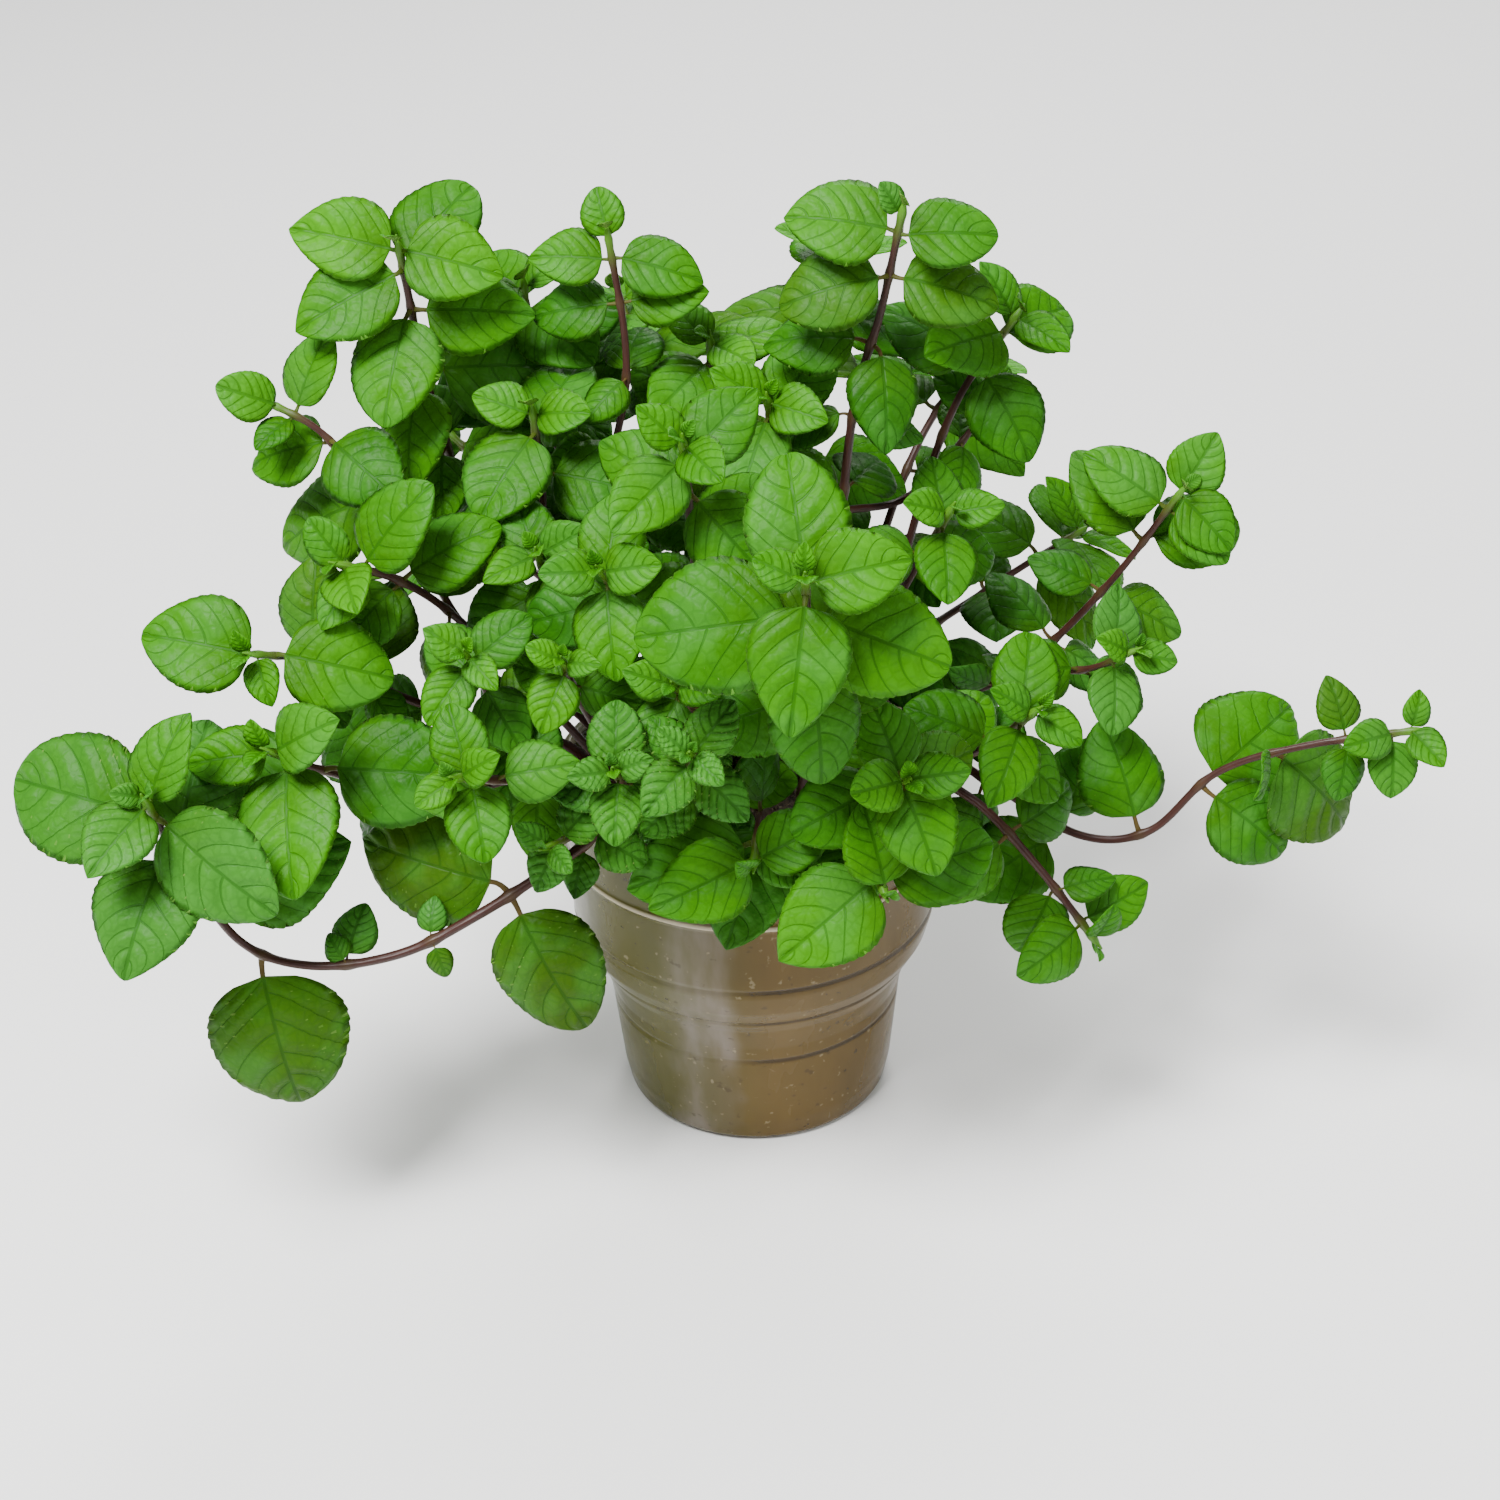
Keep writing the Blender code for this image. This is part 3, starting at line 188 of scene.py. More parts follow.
class Finish:
    """A material with one main shader, and short calls that add the nodes of its pattern."""

    def __init__(self, name, **sockets):
        self.material = bpy.data.materials.new(name)
        self.material.use_nodes = True
        self.tree = self.material.node_tree
        self.shader = self.tree.nodes["Principled BSDF"]
        self.set(**sockets)

    def put(self, socket, value):
        if isinstance(value, bpy.types.NodeSocket):
            self.tree.links.new(value, socket)
        elif socket.type == "RGBA":
            socket.default_value = (*value, 1.0)
        else:
            socket.default_value = value

    def set(self, **sockets):
        """Sets the shader's sockets by name, with an underscore for a space."""
        for name, value in sockets.items():
            self.put(self.shader.inputs[name.replace("_", " ")], value)

    def node(self, kind, inputs, **settings):
        made = self.tree.nodes.new(kind)
        for name, value in settings.items():
            setattr(made, name, value)
        for key, value in inputs.items():
            self.put(made.inputs[key], value)
        return made

    def maths(self, operation, *values):
        """One step of arithmetic on numbers or sockets."""
        return self.node("ShaderNodeMath", dict(enumerate(values)), operation=operation).outputs[0]

    def times(self, one, other):
        """The product of two numbers or sockets."""
        return self.maths("MULTIPLY", one, other)

    def line(self, value, slope, start):
        """The value times a slope, and a start added to it."""
        return self.maths("MULTIPLY_ADD", value, slope, start)

    def apart(self, one, other):
        """How far two numbers are from each other."""
        return self.maths("ABSOLUTE", self.maths("SUBTRACT", one, other))

    def ramp(self, value, low, high, start=0.0, end=1.0):
        """The value carried smoothly from the range low to high to the range start to end."""
        return self.node(
            "ShaderNodeMapRange", {0: value, 1: low, 2: high, 3: start, 4: end},
            interpolation_type="SMOOTHSTEP",
        ).outputs[0]

    def blend(self, share, one, other):
        """One colour turned into the other by a share."""
        return self.node("ShaderNodeMix", {0: share, 6: one, 7: other}, data_type="RGBA").outputs[2]

    def read(self, attribute):
        """The three numbers of an attribute."""
        vector = self.node("ShaderNodeAttribute", {}, attribute_name=attribute).outputs["Vector"]
        return [*self.node("ShaderNodeSeparateXYZ", {0: vector}).outputs, vector]

    def place(self, scale=(1, 1, 1)):
        """The place on the object, in millimetres if the scale is 1."""
        where = self.node("ShaderNodeTexCoord", {}).outputs["Object"]
        return self.node("ShaderNodeMapping", {0: where, 3: tuple(1000 * s for s in scale)}).outputs[0]

    def noise(self, vector, size, detail=3.0, roughness=0.5):
        """Soft noise whose grains are about size millimetres."""
        return self.node(
            "ShaderNodeTexNoise",
            {"Vector": vector, "Scale": 1 / size, "Detail": detail, "Roughness": roughness},
        ).outputs["Fac"]

    def bump(self, height, distance):
        """The normal of a surface raised by the height times a distance in metres."""
        inputs = {"Height": height, "Distance": distance, "Strength": 1.0}
        return self.node("ShaderNodeBump", inputs).outputs[0]


def smoky_plastic():
    """Clear plastic with a brown haze, olive on the left as a painted reflection of the leaves, a
    pale painted highlight streak down its front, painted shade in the grooves at the ribs and painted
    cream highlights on the bead and rim."""
    finish = Finish(
        "smoky_clear_plastic", IOR=1.46, Specular_IOR_Level=0.12, Coat_Weight=0.15, Coat_Roughness=0.06,
        Alpha=0.92,
    )
    place = finish.place()
    haze = finish.noise(finish.place((1, 1, 0.3)), 15, 4)
    x, _, z = finish.node("ShaderNodeSeparateXYZ", {0: place}).outputs
    # Painted reflection of the leaves: olive on the left, blending to tan on the right.
    side = finish.ramp(x, -26, 6)
    tan = finish.blend(haze, (0.056, 0.034, 0.006), (0.132, 0.084, 0.023))
    olive = finish.blend(haze, (0.050, 0.050, 0.007), (0.096, 0.086, 0.020))
    colour = finish.blend(side, olive, tan)
    # Painted highlight: a pale, slightly wandering streak down the front that stands in for a reflection
    # of the light.
    wander = finish.line(finish.noise(finish.place((0.2, 0.2, 1)), 12, 2), 9.0, x)
    painted_highlight = finish.times(finish.ramp(wander, -20, -12), finish.ramp(wander, 1, -5))
    painted_highlight = finish.times(painted_highlight, finish.ramp(haze, 0.35, 0.7, 0.1, 0.75))
    colour = finish.blend(painted_highlight, colour, (0.235, 0.205, 0.195))
    pale = finish.ramp(finish.noise(place, 2.2, 2), 0.66, 0.76)
    colour = finish.blend(finish.times(pale, 0.3), colour, (0.42, 0.36, 0.22))
    dark = finish.ramp(finish.noise(finish.place((1, 1, 1.3)), 3.4, 2), 0.64, 0.74)
    colour = finish.blend(finish.times(dark, 0.45), colour, (0.028, 0.018, 0.008))
    # Painted shade: dark lines in the rib grooves, drawn only to the right of the painted highlight.
    for height in RIB_HEIGHTS / MM:
        groove = finish.ramp(finish.apart(z, height), 0.35, 1.0, 0.8, 0)
        groove = finish.times(groove, finish.ramp(x, -8, 4))
        colour = finish.blend(groove, colour, (0.030, 0.018, 0.008))
    for height in LINE_HEIGHTS:
        glint = finish.ramp(finish.apart(z, height), 0.3, 0.9, 0.8, 0)
        colour = finish.blend(glint, colour, (0.55, 0.48, 0.34))
    finish.set(Base_Color=colour, Roughness=finish.ramp(haze, 0.3, 0.7, 0.12, 0.3))
    finish.set(Normal=finish.bump(finish.noise(place, 9, 2), 0.25 * MM))
    return finish.material


base = [(0, BASE_DENT), (BASE_RADIUS - FOOT_WIDTH, BASE_DENT)]
outside = walked(base + tub_outside(), FINE_STEP)
groove = np.exp(-((outside[:, 1:] - RIB_HEIGHTS) / RIB_WIDTH) ** 2).sum(axis=1)
outside[:, 0] -= RIB_DEPTH * groove * (outside[:, 0] > BASE_RADIUS)
inside = walked([*tub_inside()[::-1], (0, tub_inside()[0][1])], FINE_STEP * 1.5)
tub = new_piece("tub", *turned(np.concatenate([outside, inside]), FINE_SIDES), [smoky_plastic()])
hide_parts("pot")

# Soil
# Dark, moist potting soil with pale crumbs, filled in by hand to a low mound a finger's breadth
# below the rim. Its side shows through the clear tub.
SOIL_GAP = 0.4 * MM
SOIL_TOP = 74.0 * MM
SOIL_MOUND = 3.0 * MM
MOUND_SHARE = 0.6
SOIL_RINGS = 90
SOIL_SIDES = 192
SOIL_STEP = 1.2 * MM
SOIL_LUMPS = 1.6 * MM
LUMP_SIZES = (2.5 * MM, 16 * MM)
LUMP_WAVES = 60
CRUMBS = 420
CRUMB_SIZES = (0.6 * MM, 2.0 * MM)
LUMP_SEED = 5
CRUMB_SEED = 3


def soil_profile():
    """The soil's profile: one gap inside the tub's wall, with a low mound on top."""
    inside = tub_inside()
    heights = [height for _, height in inside]
    radii = [radius for radius, _ in inside]
    top_radius = float(np.interp(SOIL_TOP, heights, radii)) - SOIL_GAP
    floor = heights[0] + SOIL_GAP
    profile = [(0, floor), (radii[0] - SOIL_GAP, floor)]
    profile += [(r - SOIL_GAP, h) for r, h in inside[1:-1]]
    return profile + [
        (top_radius, SOIL_TOP),
        (top_radius * MOUND_SHARE, SOIL_TOP + SOIL_MOUND),
        (0, SOIL_TOP + SOIL_MOUND),
    ]


soil_radius = soil_profile()[-3][0]


def lumps(x, y, seed):
    """A sum of sine waves in random directions, each as high as it is long, scaled to about 1."""
    rng = np.random.default_rng(seed)
    lengths = np.exp(rng.uniform(*np.log(LUMP_SIZES), LUMP_WAVES))
    turns, phases = rng.uniform(0, 2 * math.pi, (2, LUMP_WAVES))
    along = np.multiply.outer(x, np.cos(turns)) + np.multiply.outer(y, np.sin(turns))
    return (np.sin(2 * math.pi * along / lengths + phases) * lengths).sum(-1) / np.linalg.norm(lengths)


def potting_soil():
    """Near-black brown crumbs with scattered bark and pale grit, matt but moist."""
    finish = Finish("potting_soil", Roughness=0.85)
    place = finish.place()
    grain = finish.noise(place, 1.6, 6, 0.65)
    colour = finish.blend(finish.ramp(grain, 0.35, 0.65), (0.018, 0.011, 0.007), (0.115, 0.072, 0.042))
    grit = finish.node("ShaderNodeTexVoronoi", {"Vector": place, "Scale": 0.4}).outputs["Distance"]
    colour = finish.blend(finish.ramp(grit, 0.22, 0.14, 0, 0.8), colour, (0.32, 0.25, 0.17))
    roots = finish.noise(finish.place((1, 1, 0.25)), 2.2, 2)
    thread = finish.ramp(finish.apart(roots, 0.5), 0.008, 0.0)
    colour = finish.blend(finish.times(thread, 0.55), colour, (0.42, 0.36, 0.24))
    finish.set(Base_Color=colour, Normal=finish.bump(grain, 1.2 * MM))
    return finish.material


def crumb_mesh(count, seed):
    """Points and triangles of little lumps on the soil: octahedra of random size and turn whose
    corners are pushed in and out at random."""
    rng = np.random.default_rng(seed)
    radius = (soil_radius - CRUMB_SIZES[1]) * np.sqrt(rng.uniform(0, 1, count))
    angle = rng.uniform(0, 2 * math.pi, count)
    x, y = radius * np.cos(angle), radius * np.sin(angle)
    middle = np.stack([x, y, soil_height(x, y)], axis=-1)
    corners = np.array([(1, 0, 0), (0, 1, 0), (-1, 0, 0), (0, -1, 0), (0, 0, 1), (0, 0, -1)], float)
    around, _ = np.linalg.qr(rng.normal(size=(count, 3, 3)))
    around[:, :, 0] *= np.sign(np.linalg.det(around))[:, None]
    size = np.exp(rng.uniform(*np.log(CRUMB_SIZES), (count, 1, 1)))
    shape = corners * rng.uniform(0.6, 1.3, (count, 6, 1)) * size
    points = middle[:, None] + np.einsum("nij,nkj->nki", around, shape)
    sides = np.array([(i, (i + 1) % 4, 4) for i in range(4)] + [((i + 1) % 4, i, 5) for i in range(4)])
    return points.reshape(-1, 3), (6 * np.arange(count)[:, None, None] + sides).reshape(-1, 3)


def soil_height(x, y):
    """The mound's height at a place: a cosine hill of the mound's height, with lumps on it."""
    share = np.hypot(x, y) / soil_radius
    hill = SOIL_MOUND * 0.5 * (1 + np.cos(math.pi * np.clip(share, 0, 1)))
    return SOIL_TOP + hill + SOIL_LUMPS * lumps(x, y, LUMP_SEED) * 0.5 * np.clip(4 * (1 - share), 0, 1)


wall = walked(soil_profile()[:-2], SOIL_STEP)
top = soil_radius * np.linspace(1, 0, SOIL_RINGS + 1)[1:]
bed = np.concatenate([wall, np.stack([top, np.full(SOIL_RINGS, SOIL_TOP)], axis=1)])
soil_points, soil_faces = turned(bed, SOIL_SIDES)
on_top = np.arange(len(soil_points)) > SOIL_SIDES * (len(wall) - 1)
soil_points[on_top, 2] = soil_height(*soil_points[on_top, :2].T)
crumb_points, crumb_faces = crumb_mesh(CRUMBS, CRUMB_SEED)
soil_finish = potting_soil()
soil = new_piece("soil_bed", soil_points, soil_faces, [soil_finish])
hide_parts("soil")
crumbs = new_piece("soil_crumbs", crumb_points, crumb_faces, [soil_finish])

# Stems' ways
# Peppermint stems are square and stiff, root together in the soil and lean out over the rim to the
# light. Each is given by the points of its way and by how many pairs of leaves it carries.
STEM_RADIUS = 1.5 * MM
SHOOT_RADIUS = 1.15 * MM
TIP_SHARE = 0.6
ROOT_GAP = 0.6 * MM
RING_STEP = 20.0 * MM
SAMPLE_STEP = 1.5 * MM
HOLE_DEPTH = 22.0 * MM
COLLAR_RISE = 3 * MM
STALK_HALF = 0.9 * MM

# Where no leaf grows: near the foot of a shoot and near the tub
BARE_FOOT = 12.0 * MM
BARE_RIM = 3.0 * MM

# The leaf pairs of a shoot, from its tip down: distance from the tip, size as a share of the
# shoot's largest leaf, and angle between the leaf and the stem in degrees; then the pair from which
# leaves are grown
PAIR_PLACE = np.array([1.1, 3.8, 8.5, 19.0, 37.0, 56.0, 76.0, 97.0, 118.0, 140.0, 162.0]) * MM
PAIR_SIZE = (0.24, 0.58, 0.90, 1.0, 1.0, 0.97, 0.92, 0.88, 0.84, 0.8, 0.76)
PAIR_ANGLE = (28, 62, 72, 79, 84, 87, 90, 90, 90, 90, 90)
GROWN_PAIR = 4

# Each leafy stem: root on the soil (x, y), the points of its way up to its tip, the length of its
# largest leaf, the turn of its top pair in degrees and its number of pairs. All lengths here are
# millimetres.
STEMS = {
    "stem_left_back": ((-17, 10), [(-38, 12, 112), (-61, 10, 150), (-73, 10, 188),
        (-78, 5, 236)], 29, 20, 7),
    "stem_left_upper": ((-25, 5), [(-43, 4, 108), (-68, 0, 134), (-79, -6, 162), (-90, -8, 181),
        (-99, -6, 193), (-112, -3, 200)], 25, 70, 6),
    "stem_left_top": ((-7, 13), [(-24, 23, 120), (-42, 25, 164), (-50, 30, 184),
        (-52, 30, 217)], 26, 80, 6),
    "stem_top_middle": ((-6, 4), [(-27, 3, 112), (-37, 1, 154), (-27, 5, 199),
        (-30, 10, 236)], 20, 35, 7),
    "stem_upper_mid": ((-12, -2), [(-30, -7, 118), (-46, -8, 157), (-48, -3, 178),
        (-49, -3, 198)], 26, 30, 6),
    "stem_centre_back": ((2, 6), [(3, 6, 118), (4, 5, 161), (7, 4, 183), (6, -2, 198)], 24, 15, 6),
    "stem_top_pale": ((3, 19), [(0, 22, 115), (-6, 20, 165), (-7, 15, 207)], 23, 0, 6),
    "stem_middle": ((-2, -11), [(-8, -14, 108), (-11, -24, 152), (-13, -45, 207)], 23, 0, 6),
    "stem_front": ((7, -20), [(12, -42, 112), (14, -66, 150), (12, -99, 200)], 29, 45, 6),
    "stem_right_top": ((13, 8), [(20, 6, 118), (26, 0, 188), (33, -2, 218), (38, -5, 245)], 24, 10, 7),
    "stem_right_inner": ((22, 1), [(29, 1, 112), (37, 0, 140), (50, -12, 173)], 20, 60, 6),
    "stem_right": ((30, 5), [(40, 6, 106), (54, 7, 109), (72, 5, 121), (90, 0, 145),
        (106, -5, 173)], 21, 30, 7),
    "stem_far_right": ((32, -6), [(41, -11, 106), (58, -22, 102), (80, -31, 91), (97, -35, 94),
        (112, -35, 110), (131, -40, 120), (159, -45, 127)], 23, 75, 9),
    "stem_right_low": ((27, -17), [(37, -25, 106), (53, -37, 106), (68, -47, 93),
        (84, -53, 72)], 21, 20, 6),
    "stem_front_low": ((16, -30), [(19, -43, 105), (24, -62, 116), (30, -86, 110)], 24, 45, 5),
    "stem_left": ((-30, -3), [(-46, -7, 106), (-80, -22, 128), (-98, -34, 146),
        (-115, -46, 156)], 25, 15, 7),
    "stem_left_mid": ((-23, -9), [(-44, -13, 114), (-67, -16, 145), (-80, -28, 164),
        (-95, -35, 173)], 26, 50, 6),
    "stem_left_low": ((-30, -14), [(-44, -20, 106), (-76, -34, 109), (-98, -50, 126),
        (-111, -60, 139)], 34, 20, 6),
    "stem_trailing": ((-21, -27), [(-27, -38, 106), (-45, -57, 104), (-64, -66, 96), (-83, -70, 88),
        (-104, -71, 86), (-120, -69, 92), (-130, -70, 114), (-135, -77, 138)], 37, 0, 10),
    "stem_front_left": ((-13, -19), [(-28, -36, 110), (-46, -56, 125), (-65, -88, 147)], 19, 45, 6),
    "stem_crinkled": ((-4, -31), [(-8, -44, 108), (-12, -60, 126), (-13, -90, 153)], 15, 0, 6),
    "stem_crinkled_left": ((-12, -32), [(-18, -43, 106), (-27, -59, 122), (-30, -84, 146)], 16, 45, 6),
    "stem_left_inner": ((-19, -4), [(-30, -8, 110), (-44, -12, 140), (-48, -32, 174)], 22, 60, 6),
    "stem_front_middle": ((-4, -22), [(-8, -38, 118), (-13, -54, 143), (-17, -68, 158)], 20, 20, 6),
    "stem_over_rim": ((6, -33), [(5, -44, 106), (2, -58, 115), (0, -73, 110)], 33, 60, 4),
    "stem_right_front": ((20, -12), [(34, -24, 108), (53, -36, 118), (68, -47, 137)], 22, 35, 6),
    "stem_right_near": ((11, -10), [(24, -34, 110), (29, -58, 124), (35, -84, 141)], 22, 80, 6),
}

# The stems with a side shoot: the share of the stem's length where it starts, then as above
SIDE_SHOOTS = {
    "stem_middle": (0.7, [(-25, -38, 160), (-33, -54, 180)], 22, 40, 4),
    "stem_right_top": (0.58, [(40, 14, 162), (54, 16, 176), (64, 20, 191)], 15, 50, 4),
    "stem_right": (0.55, [(83, -14, 128), (95, -20, 137)], 20, 60, 4),
    "stem_left": (0.42, [(-58, -32, 128), (-63, -60, 163)], 18, 0, 5),
    "stem_front_left": (0.45, [(-38, -45, 138), (-41, -66, 164)], 15, 20, 4),
    "stem_crinkled_left": (0.5, [(-36, -62, 116), (-48, -78, 121)], 14, 10, 4),
}

# The leaves that are listed one by one: stem, then pair and side, then the leaf's angle as seen from the
# front in degrees, counter-clockwise from the right, and its length in millimetres. After them come the
# height of that view, how far they tilt towards it and how much each turn adds to that, the share
# of the swing that they take, and the spread of their roll in degrees.
HAND_SET = {
    "stem_trailing": {
        (3, 0): (236, 40), (2, 1): (-42, 33), (4, 0): (30, 34), (5, 1): (-78, 41), (6, 0): (75, 13),
        (6, 1): (120, 8), (7, 0): (-70, 8), (7, 1): (80, 9), (8, 1): (-62, 36), (8, 0): (172, 36),
        (9, 0): (100, 14), (9, 1): (-110, 12),
    },
    "stem_far_right": {
        (1, 0): (45, 15), (1, 1): (-35, 14), (2, 0): (205, 17), (2, 1): (-85, 14), (3, 0): (100, 14),
        (3, 1): (-100, 13), (4, 0): (-52, 34), (5, 0): (40, 34), (5, 1): (-32, 26), (6, 0): (195, 34),
        (6, 1): (98, 26), (7, 0): (-150, 26),
    },
    "stem_right": {
        (1, 0): (62, 17), (1, 1): (-50, 18), (2, 0): (136, 22), (3, 0): (8, 25), (3, 1): (112, 25),
        (4, 0): (-20, 20), (4, 1): (150, 18),
    },
    "stem_right_top": {
        (1, 0): (95, 12), (1, 1): (70, 12), (2, 0): (168, 24), (2, 1): (5, 21), (3, 0): (-8, 24),
        (3, 1): (196, 26), (4, 0): (-92, 27), (4, 1): (178, 23),
    },
    "stem_left_back": {
        (1, 0): (165, 25), (2, 1): (55, 24), (1, 1): (-12, 23), (2, 0): (205, 27), (3, 1): (-110, 31),
        (3, 0): (0, 26), (4, 0): (-8, 31), (5, 0): (-112, 27),
    },
    "stem_left_upper": {
        (1, 0): (150, 18), (2, 0): (195, 15), (3, 1): (185, 23), (4, 0): (205, 30),
    },
    "stem_left_mid": {(2, 0): (220, 20), (3, 1): (215, 19), (1, 0): (150, 17)},
    "stem_left": {
        (1, 0): (163, 27), (2, 1): (80, 17), (1, 1): (-100, 18), (2, 0): (-15, 26), (3, 0): (-60, 16),
        (4, 0): (-50, 15),
    },
    "stem_front": {
        (1, 1): (12, 21), (1, 0): (130, 16), (2, 1): (96, 27), (2, 0): (-94, 28), (3, 1): (186, 33),
        (3, 0): (-24, 29), (4, 0): (60, 27),
    },
    "stem_front_low": {
        (1, 0): (105, 20), (1, 1): (-72, 18), (2, 0): (214, 28), (2, 1): (15, 26), (3, 0): (-112, 24),
        (3, 1): (80, 20),
    },
    "stem_over_rim": {(1, 0): (221, 34), (2, 0): (-40, 14), (2, 1): (196, 30), (3, 0): (-112, 30)},
    "stem_top_middle": {(1, 0): (105, 13), (1, 1): (72, 13), (2, 0): (-15, 20), (2, 1): (170, 18)},
}
SEEN_FROM = math.radians(31)
HAND_TILT = math.radians(8)
TILT_STEP = math.radians(0.8)
HAND_SWING = 0.4
HAND_ROLL = 5.0

# The stems at the back, which lean out evenly: their number, the span of their directions in degrees,
# the reach and height of an upright one and of a low one, the range of their largest leaves, and for
# each third stem in turn the radius of its root and how low it leans. Then the shares of the reach
# and of the rise at the points of their way, their spreads in degrees and in millimetres, and their
# number of pairs. Lengths are millimetres.
BACK_STEMS = 9
BACK_SPAN = (8.0, 160.0)
BACK_REACH = (64.0, 126.0)
BACK_HEIGHT = (218.0, 128.0)
BACK_LEAF = (24.0, 29.0)
BACK_ROOTS = (25.0, 35.0, 31.0)
BACK_LEANS = (0.1, 0.95, 0.5)
BACK_RIM_HEIGHT = 108.0
BACK_FOOT_HEIGHT = 100.0
BACK_SHARES = (0.14, 0.56)
BACK_RISE = 0.72
BACK_TURN_SPREAD = 3.0
BACK_SPREAD = 8.0
BACK_PAIRS = 7
BACK_SEED = 11


def unit(vector):
    return vector / np.linalg.norm(vector)


def units(rows):
    """Each row of an array as a vector of length 1."""
    return rows / np.linalg.norm(rows, axis=1)[:, None]


def smooth_way(points):
    """Points a sample step apart on the Catmull-Rom curve through the given ones."""
    points = np.array(points, float)
    ends = [2 * points[0] - points[1], *points, 2 * points[-1] - points[-2]]
    found = [points[0]]
    for a, b, c, d in zip(ends, ends[1:], ends[2:], ends[3:]):
        count = max(1, round(np.linalg.norm(c - b) / SAMPLE_STEP))
        for t in np.arange(1, count + 1) / count:
            found.append(
                0.5 * (2 * b + (c - a) * t + (2 * a - 5 * b + 4 * c - d) * t**2
                       + (3 * b - a - 3 * c + d) * t**3)
            )
    return found


class Way:
    """A stem's middle line with the square section carried along it, read at a distance from its foot."""

    def __init__(self, points, turn):
        self.points = np.array(points)
        runs = np.linalg.norm(np.diff(self.points, axis=0), axis=1)
        self.along = np.concatenate([[0.0], np.cumsum(runs)])
        self.length = self.along[-1]
        self.headings = units(np.gradient(self.points, axis=0))
        side = np.array([math.cos(turn), math.sin(turn), 0.0])
        sides = []
        for heading in self.headings:
            side = unit(side - heading * side.dot(heading))
            sides.append(side)
        self.sides = np.array(sides)

    def frame(self, distance):
        """Place, heading and the two directions of the section's corners."""
        place, heading, side = (
            np.array([np.interp(distance, self.along, rows[:, i]) for i in range(3)])
            for rows in (self.points, self.headings, self.sides)
        )
        heading = unit(heading)
        side = unit(side - heading * side.dot(heading))
        return place, heading, side, np.cross(heading, side)


def stem_radius(shoot, distance):
    """A stem's half diagonal, which narrows towards the tip."""
    return shoot["radius"] * (1 - (1 - TIP_SHARE) * distance / shoot["way"].length)


def ring_of(shoot, distance, extra=0.0):
    place, _, side, other = shoot["way"].frame(distance)
    radius = stem_radius(shoot, distance) + extra
    return [place + radius * way for way in (side, other, -side, -other)]


def leaf_places(shoot):
    """The distances from the foot at which a shoot has its leaf pairs, counted from its tip."""
    found = {}
    for pair in range(shoot["pairs"]):
        distance = shoot["way"].length - PAIR_PLACE[pair]
        if distance < BARE_FOOT:
            break
        place = shoot["way"].frame(distance)[0]
        if place[2] > TUB_HEIGHT + BARE_RIM or math.hypot(place[0], place[1]) > RIM_RADIUS + BARE_RIM:
            found[pair] = distance
    return found


def ring_places(shoot):
    """Where a stem has rings of corners: where it leaves the soil, below and above each leaf pair,
    and evenly between them."""
    length = shoot["way"].length
    found = {0.0, shoot["collar"], length}
    for place in shoot["leaf_places"].values():
        found |= {place - STALK_HALF, min(place + STALK_HALF, length)}
    found = sorted(found)
    places = [found[0]]
    for low, high in zip(found, found[1:]):
        count = max(1, round((high - low) / RING_STEP))
        places += [low + (high - low) * i / count for i in range(1, count + 1)]
    return places


def back_stems():
    """The stems at the back, in the form of the table's rows."""
    rng = np.random.default_rng(BACK_SEED)
    rows = {}
    for i in range(BACK_STEMS):
        lean = BACK_LEANS[i % 3]
        root = BACK_ROOTS[i % 3]
        turned_by = rng.uniform(-BACK_TURN_SPREAD, BACK_TURN_SPREAD)
        angle = math.radians(np.interp(i + 0.5, (0, BACK_STEMS), BACK_SPAN) + turned_by)
        reach = np.interp(lean, (0, 1), BACK_REACH) + rng.uniform(-BACK_SPREAD, BACK_SPREAD)
        height = np.interp(lean, (0, 1), BACK_HEIGHT) + rng.uniform(-BACK_SPREAD, BACK_SPREAD)
        aim = np.array([math.cos(angle), math.sin(angle)])
        points = [
            (*(aim * (root + BACK_SHARES[0] * (reach - root))), BACK_RIM_HEIGHT),
            (*(aim * (root + BACK_SHARES[1] * (reach - root))),
             BACK_FOOT_HEIGHT + BACK_RISE * (height - BACK_FOOT_HEIGHT)),
            (*(aim * reach), height),
        ]
        largest = rng.uniform(*BACK_LEAF)
        turn = rng.uniform(0, 90)
        rows[f"stem_back_{i + 1:02d}"] = (aim * root, points, largest, turn, BACK_PAIRS)
    return rows


def new_shoot(node, first, points, largest, turn, pairs):
    """A stem or side shoot: a straight run over the first points, and a smooth way through the rest
    from the last of them on. One with a single first point is a side shoot."""
    main = len(first) > 1
    points = [first[-1], *(np.array(p) * MM for p in points)]
    way = Way([*first[:-1], *smooth_way(points)], math.radians(turn))
    return {
        "node": node, "main": main, "way": way, "leaf": largest * MM, "pairs": pairs, "leaves": [],
        "collar": way.along[1] if main else 0.0, "radius": STEM_RADIUS if main else SHOOT_RADIUS,
    }


def make_shoots():
    """Every stem and side shoot, with its way, thickness, largest leaf and number of leaf pairs."""
    shoots = []
    for node, ((x, y), *rest) in {**STEMS, **back_stems()}.items():
        foot = np.array([x * MM, y * MM, SOIL_TOP - HOLE_DEPTH + ROOT_GAP])
        collar = np.array([x * MM, y * MM, SOIL_TOP + SOIL_MOUND + COLLAR_RISE])
        shoots.append(new_shoot(node, [foot, collar], *rest))
        if node in SIDE_SHOOTS:
            share, *its_rest = SIDE_SHOOTS[node]
            way = shoots[-1]["way"]
            shoots.append(new_shoot(node, [way.frame(share * way.length)[0]], *its_rest))
    for shoot in shoots:
        shoot["leaf_places"] = leaf_places(shoot)
        shoot["rings"] = ring_places(shoot)
    return shoots


shoots = make_shoots()

